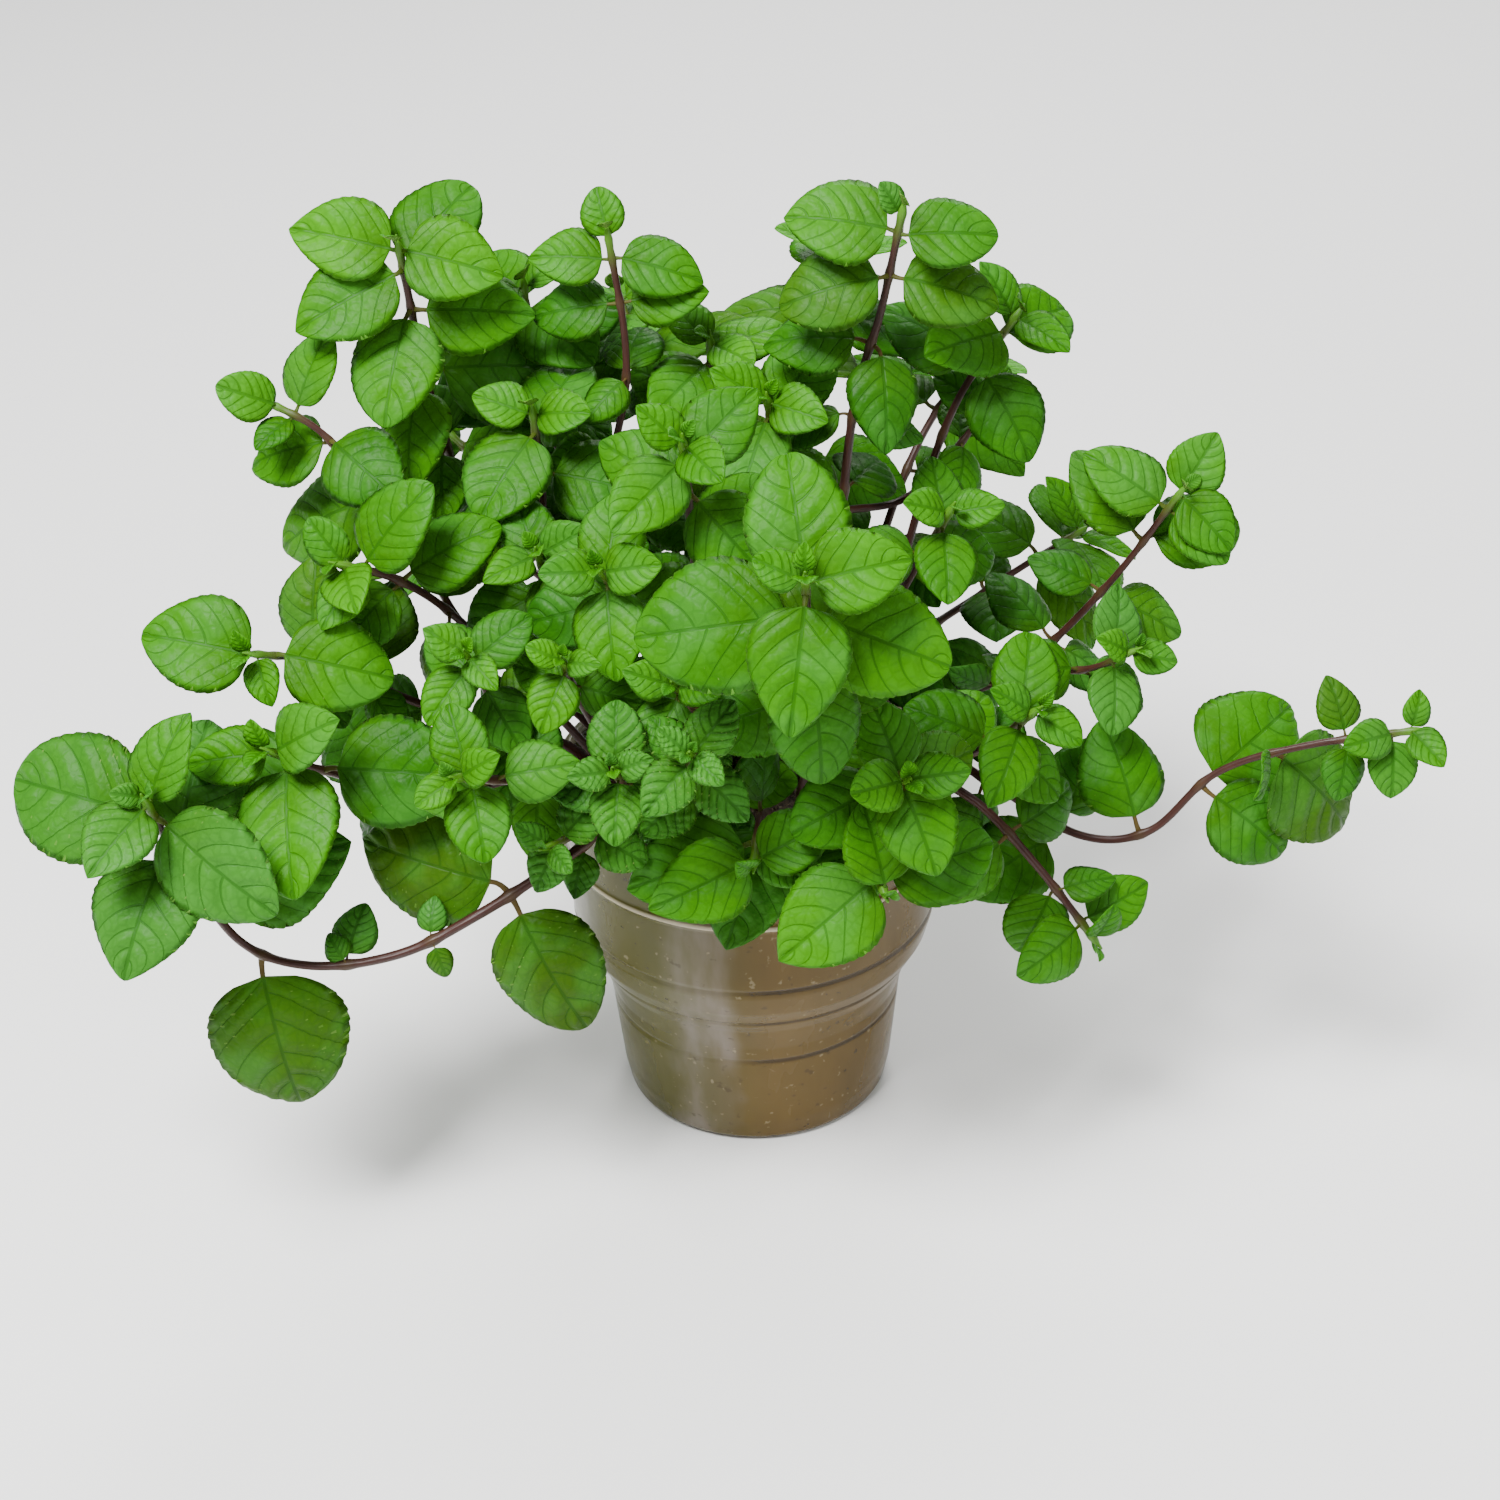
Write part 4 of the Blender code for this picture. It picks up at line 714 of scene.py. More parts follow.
# Where the leaves grow
# A mint leaf turns its blade to the light and away from its neighbours. Each leaf here is turned a
# little more until it is clear of all that is there, and left out if no turn is clear.
BLADE_HALF = 0.5 * MM
LEAF_WIDTH_SHARE = 0.84
STALK_SHARE = 0.12
WAVE_SHARE = 0.018

# How far leaves keep from each other across the blade and at the rim, how far a leaf rises from the
# stem at once, how much it leans out from it at least, how far drawn in it is for a test, and the
# share of its length where the sheets around it begin
CLEAR_HALF = 0.9 * MM
CLEAR_RIM = 0.4 * MM
ROOT_RISE = 0.15 * MM
LEAST_LEAN = 0.45
SHRUNK = 0.97
SHEET_START = 0.02

# The turns that a leaf tries: their number, the swing that each adds to one side or the other, the
# spread of its other angles at first and what each turn adds to it, in degrees, and what it shrinks
TURNS_TRIED = 60
SWING_STEP = 2.0
SWING_SPREAD = 6.0
ANGLE_SPREAD = 3.0
SPREAD_STEP = 0.3
SHRINK_STEP = 0.007

# The light that the leaves turn to: its shares from outside, from the front and from above, the depth
# at which the front's share begins to fall, where it is nothing, its least, and how far blades turn
OUTSIDE_LIGHT = 0.25
FRONT_LIGHT = 0.9
TOP_LIGHT = 0.8
FRONT_ENDS = 40.0 * MM
FRONT_GONE = 100.0 * MM
LEAST_FRONT = -0.3
LIGHT_TURN = 1.1

# A leaf's form. Of each two values the first is a bud's and the second that of a grown leaf: the share
# of the light in the way it points, its bend in degrees, its cup and its droop. Then how much a grown
# leaf sags, the least share of the stalk, where it starts in the stem, and the spreads of the sizes.
LIGHT_SHARE = (0.55, 0.75)
LEAF_BEND = (16.0, 50.0)
LEAF_CUP = (0.34, 0.06)
LEAF_DROOP = (0.15, 0.65)
LEAF_SAG = 0.16
LEAST_STALK = 0.03
STALK_START = 0.7
BEND_SPREAD = (-12.0, 10.0)
LENGTH_SPREAD = (0.9, 1.08)
WIDTH_SPREAD = (0.92, 1.08)
WAVES = 9.0

# The outline of a leaf: its scale, and how fast it widens from the stalk and narrows to the tip
OUTLINE_SCALE = 2.135
OUTLINE_FOOT = 0.46
OUTLINE_TIP = 0.66


def leaf_outline(u):
    """Half the width of a leaf as a share of its greatest, at a share u of its length."""
    return OUTLINE_SCALE * np.power(u, OUTLINE_FOOT) * np.power(1 - u, OUTLINE_TIP)


def leaf_surface(leaf, u, v, lift=0.0):
    """Points of a leaf's middle surface.

    The midrib is an arc that bends down by leaf["bend"] from stalk to tip. A point lies a share v
    of the half width to its side, raised by the cup, lowered by the droop and waved at the edge.
    """
    length, bend = leaf["length"], leaf["bend"]
    angle = bend * u
    forward = length * np.sin(angle) / bend
    down = -length * (1 - np.cos(angle)) / bend
    half = 0.5 * leaf["width"] * leaf_outline(u)
    rise = leaf["cup"] * np.abs(v) * half - leaf["droop"] * (v * half) ** 2 / leaf["width"]
    rise = rise + leaf["wave"] * v**2 * np.sin(leaf["phase"] + WAVES * u * np.sign(v)) + lift
    return (
        leaf["blade"]
        + np.multiply.outer(forward + rise * np.sin(angle), leaf["along"])
        + np.multiply.outer(v * half, leaf["across"])
        + np.multiply.outer(down + rise * np.cos(angle), leaf["up"])
    )


# The forms of leaves from large to small: the length that each is above, its rim's points as shares of
# the length and of the half width, and its midrib's points
LEAF_FORMS = (
    (27.0 * MM, (0.05, 0.24, 0.33, 0.56, 0.64, 0.87), (1.0, 1.06, 0.94, 1.07, 0.94, 1.06), (0.3, 0.66)),
    (13.5 * MM, (0.07, 0.34, 0.45, 0.78), (1.0, 1.07, 0.95, 1.06), (0.45,)),
    (8.0 * MM, (0.12, 0.42, 0.78), (1.0, 1.03, 1.0), ()),
    (0.0, (0.28, 0.68), (1.0, 1.0), ()),
)


def leaf_form(length):
    """The number of the form of a leaf of this length."""
    return next(i for i, form in enumerate(LEAF_FORMS) if length > form[0])


def strip(rim, rib):
    """Triangles between two rows of (point, share) from a common start to a common end."""
    faces = []
    i = j = 0
    while i < len(rim) - 1 or j < len(rib) - 1:
        rim_next = rim[i + 1][1] if i < len(rim) - 1 else math.inf
        rib_next = rib[j + 1][1] if j < len(rib) - 1 else math.inf
        if rim_next <= rib_next:
            faces.append((rib[j][0], rim[i][0], rim[i + 1][0]))
            i += 1
        else:
            faces.append((rib[j][0], rim[i][0], rib[j + 1][0]))
            j += 1
    return [face for face in faces if len(set(face)) == 3]


def leaf_rows(leaf, spread, lift):
    """A leaf's rim to the left, its midrib, its rim to the right and its tip, raised by the lift."""
    _, stations, reaches, ribs = LEAF_FORMS[leaf_form(leaf["length"])]
    wide = np.array(reaches) + spread / (0.5 * leaf["width"])
    stations, ribs = np.array(stations), np.array(ribs)
    return (
        leaf_surface(leaf, stations, wide, lift),
        leaf_surface(leaf, ribs, np.zeros(len(ribs)), np.full(len(ribs), lift)),
        leaf_surface(leaf, stations, -wide, lift),
        leaf_surface(leaf, np.array([1.0]), np.array([0.0]), lift),
    )


def row(first, shares, start, end):
    """A row of (point, share of the length): the start, the points numbered from first on, the end."""
    return [(start, 0.0)] + [(first + i, share) for i, share in enumerate(shares)] + [(end, 1.0)]


def leaf_skin(leaf, base, corners):
    """A leaf's own points, numbered from base on, and the faces that tie them to the stem's four
    corners: left above, left below, right above and right below."""
    _, stations, _, ribs = LEAF_FORMS[leaf_form(leaf["length"])]
    left, _, right, tip = leaf_rows(leaf, 0.0, 0.0)
    top = leaf_rows(leaf, 0.0, BLADE_HALF)[1]
    bottom = leaf_rows(leaf, 0.0, -BLADE_HALF)[1]
    n, k = len(stations), len(ribs)
    end = base + 2 * n + 2 * k
    lefts, tops, rights, lows = base, base + n, base + n + k, base + 2 * n + k
    left_above, left_below, right_above, right_below = corners
    faces = [(left_above, lefts, left_below), (right_above, right_below, rights)]
    faces.append((left_above, right_above, tops if k else end))
    faces.append((left_below, lows if k else end, right_below))
    quarters = (
        (lefts, tops, left_above, -1), (rights, tops, right_above, 1),
        (lefts, lows, left_below, 1), (rights, lows, right_below, -1),
    )
    for rim, rib, first, order in quarters:
        quarter = strip(row(rim, stations, first, end), row(rib, ribs, first, end))
        faces += [face[::order] for face in quarter]
    return [*left, *top, *right, *bottom, *tip], faces


def leaf_solid(leaf):
    """A leaf with its root as a body of its own, to test what it meets."""
    points, faces = leaf_skin(leaf, 4, (0, 1, 2, 3))
    return np.array([*leaf["corners"], *points]), faces


def leaf_sheets(leaf):
    """Two sheets around a leaf, as far out as the other leaves keep from it."""
    _, stations, _, ribs = LEAF_FORMS[leaf_form(leaf["length"])]
    n, k = len(stations), len(ribs)
    points, faces = [], []
    for lift in (CLEAR_HALF, -CLEAR_HALF):
        first = len(points)
        begin = leaf_surface(leaf, np.array([SHEET_START]), np.array([0.0]), lift)
        left, middle, right, tip = leaf_rows(leaf, CLEAR_RIM, lift)
        points += [*begin, *left, *middle, *right, *tip]
        end = len(points) - 1
        rib_row = row(first + 1 + n, ribs, first, end)
        faces += strip(row(first + 1, stations, first, end), rib_row)
        faces += strip(row(first + 1 + n + k, stations, first, end), rib_row)
    return np.array(points), faces


def tube_faces(low, high):
    """The two triangles of each side between two rings of four points."""
    faces = []
    for i in range(4):
        j = (i + 1) % 4
        faces.append([(low + i, low + j, high + j), (low + i, high + j, high + i)])
    return faces


def ring_below(shoot, leaf):
    """The number of the ring at the lower edge of a leaf's root."""
    low = shoot["leaf_places"][leaf["pair"]] - STALK_HALF
    return int(np.argmin(np.abs(np.array(shoot["rings"]) - low)))


def tube(shoot, extra, leaf=None):
    """A stem's sides without its leaves, for the tests, and open where the given leaf grows."""
    rings = shoot["rings"]
    points = [p for place in rings for p in ring_of(shoot, place, extra)]
    faces = []
    for ring in range(len(rings) - 1):
        for face, triangles in enumerate(tube_faces(4 * ring, 4 * ring + 4)):
            if leaf is None or (ring, face) != (ring_below(shoot, leaf), leaf["face"]):
                faces += triangles
    return np.array(points), faces


def tree_of(points, faces):
    return BVHTree.FromPolygons(np.asarray(points).tolist(), faces, all_triangles=True)


def shrunk_tree(points, faces):
    """A tree of the same triangles, each drawn in a little, so that it doesn't touch its neighbours."""
    corners = np.asarray(points)[np.array(faces)]
    middles = corners.mean(axis=1, keepdims=True)
    corners = middles + SHRUNK * (corners - middles)
    return tree_of(corners.reshape(-1, 3), [(i, i + 1, i + 2) for i in range(0, 3 * len(faces), 3)])


class Thicket:
    """All that is already placed, as boxes and trees that a new leaf is tested against."""

    def __init__(self):
        self.boxes = np.empty((0, 6))
        self.solids = []
        self.first_leaf = 0

    def add(self, shoot, wide, exact):
        """Adds a solid by its (points, faces) as far out as others keep, and as it is."""
        points = np.asarray(wide[0])
        box = np.concatenate([points.min(axis=0), points.max(axis=0)])
        self.boxes = np.vstack([self.boxes, box])
        self.solids.append((shoot, tree_of(*wide), tree_of(*exact)))

    def meets(self, leaf, shoot):
        """Whether a leaf comes too near to anything. To its own shoot it only mustn't touch."""
        sheets = leaf_sheets(leaf)
        low, high = sheets[0].min(axis=0), sheets[0].max(axis=0)
        near = np.all(self.boxes[:, :3] <= high, axis=1) & np.all(self.boxes[:, 3:] >= low, axis=1)
        points, faces = leaf_solid(leaf)
        rooted = sorted({i for face in faces if min(face) < 4 for i in face if i > 3})
        if (points[rooted] - np.mean(leaf["corners"], axis=0)).dot(leaf["outward"]).min() < ROOT_RISE:
            return True
        wide, exact, shrunk = tree_of(*sheets), tree_of(points, faces), shrunk_tree(points, faces)
        if any(i != j for i, j in shrunk.overlap(exact)):
            return True
        if shrunk.overlap(tree_of(*tube(shoot, 0.0, leaf))):
            return True
        for index in np.flatnonzero(near):
            its_shoot, wide_tree, exact_tree = self.solids[index]
            if its_shoot is not shoot:
                if wide.overlap(wide_tree) or exact.overlap(exact_tree):
                    return True
            elif index >= self.first_leaf and exact.overlap(exact_tree):
                return True
        return False


def light_at(place):
    """The way the light comes to a leaf: from above and outside, and at the front from there."""
    x, y = place[0], place[1]
    outward = np.array([x, y, 0.0]) / max(math.hypot(x, y), BODY_RADIUS)
    front = (FRONT_GONE - y) / (FRONT_GONE - FRONT_ENDS)
    front = min(max(front, LEAST_FRONT), 1.0)
    return unit(OUTSIDE_LIGHT * outward + np.array([0.0, -FRONT_LIGHT * front, TOP_LIGHT]))


def grown_share(pair):
    """How far a leaf has grown from a bud at the tip to a full leaf."""
    return min(pair, GROWN_PAIR) / GROWN_PAIR


def hand_set(shoot, pair, side):
    """The angle and length of a listed leaf, or None."""
    return HAND_SET.get(shoot["node"], {}).get((pair, side)) if shoot["main"] else None


def outward_of(shoot, pair, face):
    """The way out of a face of the stem where a pair grows."""
    _, _, corner, other = shoot["way"].frame(shoot["leaf_places"][pair])
    corners = (corner, other, -corner, -other)
    return unit(corners[face] + corners[(face + 1) % 4])


def face_of(shoot, pair, side, set_angle, trial):
    """The face of the stem that a leaf grows on. Pairs are crossed, but a listed leaf takes
    one of the two free faces that look its way most, and its partner then takes the opposite one."""
    taken = [leaf["face"] for leaf in shoot["leaves"] if leaf["pair"] == pair]
    if set_angle is not None:
        free = [face for face in range(4) if face not in taken]
        aim = seen_at(math.radians(set_angle), HAND_TILT)
        ranked = sorted(free, key=lambda face: -outward_of(shoot, pair, face).dot(aim))
        return ranked[trial // 2 % 2]
    if not taken:
        return (pair + 2 * side) % 4
    return next(face for face in ((taken[0] + 2) % 4, (taken[0] + 1) % 4) if face not in taken)


def swung(way, other, angle):
    """A direction that is turned by an angle towards one square to it."""
    return math.cos(angle) * way + math.sin(angle) * other


def seen_at(angle, tilt):
    """The direction of a leaf that is seen at an angle from the front and tilts towards there."""
    upward = np.array([0.0, math.sin(SEEN_FROM), math.cos(SEEN_FROM)])
    towards = np.array([0.0, -math.cos(SEEN_FROM), math.sin(SEEN_FROM)])
    return swung(swung(np.array([1.0, 0.0, 0.0]), upward, angle), towards, tilt)


def root_turn(leaf, corners):
    """By how many corners a leaf's root is turned on its face of the stem, so that it twists least.

    The corners run around the face: left above, left below, right below and right above. They are
    compared with the leaf's own sides once its midrib is swung to the way out of the face."""
    spokes = np.array(corners) - np.mean(corners, axis=0)
    outward, along = leaf["outward"], leaf["along"]
    middle = (outward + along) / (1 + outward.dot(along))
    across, up = (way - way.dot(outward) * middle for way in (leaf["across"], leaf["up"]))
    wanted = np.array([across + up, across - up, -across - up, up - across])
    return max(range(4), key=lambda turn: np.sum(np.roll(spokes, -turn, axis=0) * wanted))


def turned_root(corners, turn):
    """The corners of a root that is turned: left above, left below, right above and right below."""
    a, b, c, d = (*corners[turn:], *corners[:turn])
    return a, b, d, c


def leaf_directions(shoot, pair, face, rng, trial, set_angle=None):
    """A leaf's midrib, its width's direction and its upper side, with the stem's face it grows on."""
    place, heading, _, _ = shoot["way"].frame(shoot["leaf_places"][pair])
    outward = outward_of(shoot, pair, face)
    grown = grown_share(pair)
    light_share = np.interp(grown, (0, 1), LIGHT_SHARE)
    light = light_at(place)
    axis = unit(heading * (1 - light_share) + light * light_share)
    level = unit(outward - axis * outward.dot(axis))
    side_of_swing = -1 if trial % 2 else 1
    swing = math.radians(SWING_STEP * ((trial + 1) // 2) * side_of_swing + rng.normal(0, SWING_SPREAD))
    level = swung(level, np.cross(axis, level), swing)
    spread = ANGLE_SPREAD + SPREAD_STEP * trial
    angle = math.radians(PAIR_ANGLE[pair] + rng.normal(0, spread))
    along = unit(swung(axis, level, angle) - np.array([0.0, 0.0, LEAF_SAG * grown]))
    if set_angle is not None:
        tilt = HAND_TILT + TILT_STEP * trial * rng.uniform(0, 1)
        along = seen_at(math.radians(set_angle) + HAND_SWING * swing, tilt)
    if pair > 1:
        along = unit(along + max(0.0, LEAST_LEAN - along.dot(outward)) * outward)
    up = LIGHT_TURN * light
    if set_angle is None:
        up = up + math.sin(angle) * axis - math.cos(angle) * level
    up = unit(up - along * up.dot(along))
    across = np.cross(up, along)
    roll = math.radians(rng.normal(0, 2 * spread if set_angle is None else HAND_ROLL))
    across, up = swung(across, up, roll), swung(up, -across, roll)
    return {"outward": outward, "along": along, "across": across, "up": up}


def leaf_of(shoot, pair, side, rng, trial):
    """One leaf of a pair, on the face of the stem where it grows, turned a little more each trial."""
    distance = shoot["leaf_places"][pair]
    set_angle, set_length = hand_set(shoot, pair, side) or (None, None)
    face = face_of(shoot, pair, side, set_angle, trial)
    leaf = leaf_directions(shoot, pair, face, rng, trial, set_angle)
    grown = grown_share(pair)
    length = shoot["leaf"] * PAIR_SIZE[pair] * rng.uniform(*LENGTH_SPREAD)
    if set_length:
        length = set_length * MM
    length *= 1 - SHRINK_STEP * trial
    stalk = length * (LEAST_STALK + STALK_SHARE * grown)
    start = shoot["way"].frame(distance)[0]
    start = start + STALK_START * stem_radius(shoot, distance) * leaf["outward"]
    below = ring_of(shoot, distance - STALK_HALF)
    above = ring_of(shoot, min(distance + STALK_HALF, shoot["way"].length))
    right, left = face, (face + 1) % 4
    corners = (above[left], below[left], below[right], above[right])
    leaf.update(
        pair=pair,
        face=face,
        corners=turned_root(corners, root_turn(leaf, corners)),
        blade=start + stalk * unit(leaf["outward"] + leaf["along"]),
        length=length,
        width=length * LEAF_WIDTH_SHARE * rng.uniform(*WIDTH_SPREAD),
        bend=math.radians(np.interp(grown, (0, 1), LEAF_BEND) + rng.uniform(*BEND_SPREAD)),
        cup=np.interp(grown, (0, 1), LEAF_CUP),
        droop=np.interp(grown, (0, 1), LEAF_DROOP),
        wave=length * WAVE_SHARE,
        phase=rng.uniform(0, 2 * math.pi),
    )
    return leaf


def grow(shoots):
    """Gives every shoot its leaves, each turned until it is clear of all that is there."""
    thicket = Thicket()
    for profile in (tub_profile(), soil_profile()):
        thicket.add(None, turned(profile, TUB_SIDES), turned(profile, TUB_SIDES))
    for shoot in shoots:
        thicket.add(shoot, tube(shoot, CLEAR_RIM), tube(shoot, 0.0))
    thicket.first_leaf = len(thicket.solids)
    left_out = 0
    order = [
        (hand_set(shoot, pair, side) is None, pair, number, side)
        for number, shoot in enumerate(shoots) for pair in shoot["leaf_places"] for side in (0, 1)
    ]
    for _, pair, number, side in sorted(order):
        shoot = shoots[number]
        rng = np.random.default_rng([number, pair, side])
        for trial in range(TURNS_TRIED):
            leaf = leaf_of(shoot, pair, side, rng, trial)
            if not thicket.meets(leaf, shoot):
                thicket.add(shoot, leaf_sheets(leaf), leaf_solid(leaf))
                shoot["leaves"].append(leaf)
                break
        else:
            left_out += 1
    print(sum(len(shoot["leaves"]) for shoot in shoots), "leaves,", left_out, "left out")


grow(shoots)

# Leaves
# A peppermint leaf is round to ovate on a short stalk, quilted between sunken side veins that curve
# towards the tip, with shallow teeth that point forward. It grows in one skin from stalk to tip.
FULL_SIZE = 30 * MM
BLADE_THICK = 0.16 * MM
LEAF_LOTS = 900

# The stalk: half its width and half its thickness, its rows, where it starts in the stem, how far its
# curve runs straight out of the stem and into the blade, and how much it widens at the stem
STALK_WIDE = 0.62 * MM
STALK_THICK = 0.5 * MM
STALK_ROWS = np.array([0.0, 0.25, 0.5, 0.75])
STALK_ROOT = 0.3
STALK_LEAVES = 0.45
STALK_MEETS = 0.35
STALK_FLARE = 0.5

# For each form of leaf the number of teeth along one rim and of points across the blade. Then each
# tooth's rows and how far they reach, the share of the half width that it takes, where teeth start,
# how near the rim they and the quilting's end are, how points crowd to the midrib, and how much more
# pointed than the plain outline the most pointed leaf is, and what it is wider for that.
LEAF_SIZES = ((13, 14), (11, 12), (8, 8), (5, 6))
TOOTH_ROWS = (0.0, 0.4, 0.75)
TOOTH_REACH = (-0.5, 0.1, 0.5)
TOOTH_SHARE = 0.022
TOOTH_START = 0.1
RIM_POWER = 6
CROWDING = 1.15
POINTED = 0.26
POINT_WIDENS = 0.4

# The midrib's ridge, which tapers to the tip and sinks into the upper side, and the blade's base
RIB_RIDGE = 0.4 * MM
RIB_SPREAD = 0.7 * MM
RIB_TAPER = 0.75
RIB_SINKS = 0.45
BASE_SHARE = 0.03

# The quilting: its height, the side veins' spacing, how they arch, close up, lag on one side and
# stray as shares of the length, the waves of that along and across, and where it fades
QUILT_SHARE = 0.022
VEIN_STEP = 0.185
VEIN_SWEEP = 0.47
VEIN_CURVE = 1.5
VEIN_CLOSE = 0.45
VEIN_LAG = 0.4
VEIN_STRAY = 0.024
STRAY_ALONG = 9.0
STRAY_ACROSS = 2.0
QUILT_ENDS = 0.1
QUILT_MIDRIB = 0.15

# Shoots whose leaves are crumpled, and how much higher theirs rise between the veins
CRINKLED = {"stem_crinkled": 3.0, "stem_crinkled_left": 2.6, "stem_trailing": 1.3}

# The large leaves from this pair down are old and have turned a dark olive
OLD_PAIRS = {"stem_trailing": 8}
OLD_LENGTH = 20 * MM
OLD_AGE = 1.5

# How a node's leaves differ in colour, from cool and greyish at -1 to yellowish at 1, and the spread
# of that among its leaves. The cool, greyish end is partly the leaves' own colour and partly
# painted sheen.
NODE_TINT = {
    "stem_trailing": -0.9, "stem_crinkled": -1.1, "stem_crinkled_left": -0.9, "stem_centre_back": -0.2,
    "stem_left_upper": 0.5, "stem_left_back": 0.5, "stem_left": 0.5, "stem_left_mid": 0.4,
    "stem_top_middle": 0.3, "stem_top_pale": 0.8, "stem_right_top": -0.5, "stem_right": -0.4,
    "stem_far_right": 0.1, "stem_right_front": 0.2, "stem_front_low": 0.7, "stem_front": 0.2,
    "stem_over_rim": 0.3, "stem_front_left": 0.6,
}
TINT_SPREAD = 0.3


def quilt(u, v, seed):
    """The height between side veins as a share: the squared sine of the count of veins passed,
    which fades at the midrib, the rim and both ends. The veins arch towards the tip, lag behind on
    one side and stray a little by a sine."""
    sweep = VEIN_SWEEP * np.abs(v) ** VEIN_CURVE * (1 - VEIN_CLOSE * u)
    stray = VEIN_STRAY * np.sin(STRAY_ALONG * u + STRAY_ACROSS * v + seed)
    passed = (u - sweep + stray) / VEIN_STEP + VEIN_LAG * (v > 0)
    ends = np.clip(u / QUILT_ENDS, 0, 1) * np.clip((1 - u) / QUILT_ENDS, 0, 1)
    height = np.sin(math.pi * passed) ** 2 * np.clip(np.abs(v) / QUILT_MIDRIB, 0, 1)
    return height * (1 - np.abs(v) ** RIM_POWER) * ends


def leaf_ring(columns):
    """A ring of points round a leaf: their shares of the half width, from one rim over the upper
    side to the other rim and back below, and 1 above, -1 below and 0 at the rims."""
    ring = np.arange(2 * columns)
    even = np.where(ring <= columns, 1 - 2 * ring / columns, 2 * ring / columns - 3)
    side = np.where(ring % columns == 0, 0.0, np.where(ring < columns, 1.0, -1.0))
    return np.sign(even) * np.abs(even) ** CROWDING, side


def fine_blade(leaf, teeth, columns, seed, crumpled):
    """Rows of rings from the blade's base to near its tip, with their places on the leaf.

    The midrib bends down along an arc. Across it, the surface rises with the cup and falls with the
    droop, waves at the rim, swells between the veins, and has a ridge below the midrib. The rim's
    teeth are a saw's: each reaches out slowly towards the tip and drops back at once."""
    v, side = leaf_ring(columns)
    size = min(1.0, leaf["length"] / FULL_SIZE)
    u = ((np.arange(teeth)[:, None] + np.array(TOOTH_ROWS)) / teeth).reshape(-1, 1)
    saw = np.tile(TOOTH_REACH, teeth)[:, None] * np.clip((u - TOOTH_START) / TOOTH_START, 0, 1)
    point = POINTED * (seed % 1)
    half = 0.5 * leaf["width"] * leaf_outline(u) * (1 - u) ** point * (1 + POINT_WIDENS * point)
    wide = np.sqrt(half**2 + (size * STALK_WIDE * (1 - u)) ** 2)
    x = v * wide * (1 + TOOTH_SHARE * saw * np.abs(v) ** RIM_POWER)
    angle = leaf["bend"] * u
    reach = leaf["length"] / leaf["bend"]
    forward = reach * np.sin(angle)
    down = -reach * (1 - np.cos(angle))
    base = np.exp(-u / BASE_SHARE)
    thick = (1 - base) * BLADE_THICK * (1 - v**4) ** 0.5 + base * size * STALK_THICK * (1 - v**2) ** 0.5
    ridge = RIB_RIDGE * size * (1 - RIB_TAPER * u) * np.exp(-((x / RIB_SPREAD) ** 2)) * (1 - base)
    rise = leaf["cup"] * np.abs(x) - leaf["droop"] * np.abs(v) ** 1.5 * wide**2 / leaf["width"]
    rise = rise + leaf["wave"] * v**2 * np.sin(leaf["phase"] + WAVES * u * np.sign(v))
    rise = rise + crumpled * QUILT_SHARE * leaf["length"] * quilt(u, v, seed) + side * thick
    rise = rise - ridge * np.where(side > 0, RIB_SINKS, 1.0)
    points = (
        leaf["blade"]
        + (forward + rise * np.sin(angle))[..., None] * leaf["along"]
        + x[..., None] * leaf["across"]
        + (down + rise * np.cos(angle))[..., None] * leaf["up"]
    )
    return points, np.broadcast_to(u, x.shape), x


def fine_stalk(shoot, leaf, columns):
    """Rows of rings along the stalk: a Bezier curve from within the stem to the blade's base, which
    leaves the stem outwards and ends along the midrib, with an oval section that widens at the stem."""
    v, side = leaf_ring(columns)
    size = min(1.0, leaf["length"] / FULL_SIZE)
    place = shoot["way"].frame(shoot["leaf_places"][leaf["pair"]])[0]
    start = place + STALK_ROOT * shoot["radius"] * leaf["outward"]
    reach = np.linalg.norm(leaf["blade"] - start)
    bends = np.array([
        start, start + STALK_LEAVES * reach * leaf["outward"],
        leaf["blade"] - STALK_MEETS * reach * leaf["along"], leaf["blade"],
    ])
    t = STALK_ROWS[:, None]
    middle = np.hstack([(1 - t) ** 3, 3 * t * (1 - t) ** 2, 3 * t**2 * (1 - t), t**3]) @ bends
    heading = units(np.hstack([(1 - t) ** 2, 2 * t * (1 - t), t**2]) @ np.diff(bends, axis=0))
    across = units(leaf["across"] - heading * (heading @ leaf["across"])[:, None])
    up = np.cross(heading, across)
    flare = size * (1 + STALK_FLARE * (1 - t) ** 2)
    x = STALK_WIDE * flare * v
    rise = STALK_THICK * flare * side * (1 - v**2) ** 0.5
    points = middle[:, None] + x[..., None] * across[:, None] + rise[..., None] * up[:, None]
    return points, np.broadcast_to(0.2 * (t - 1), x.shape), x


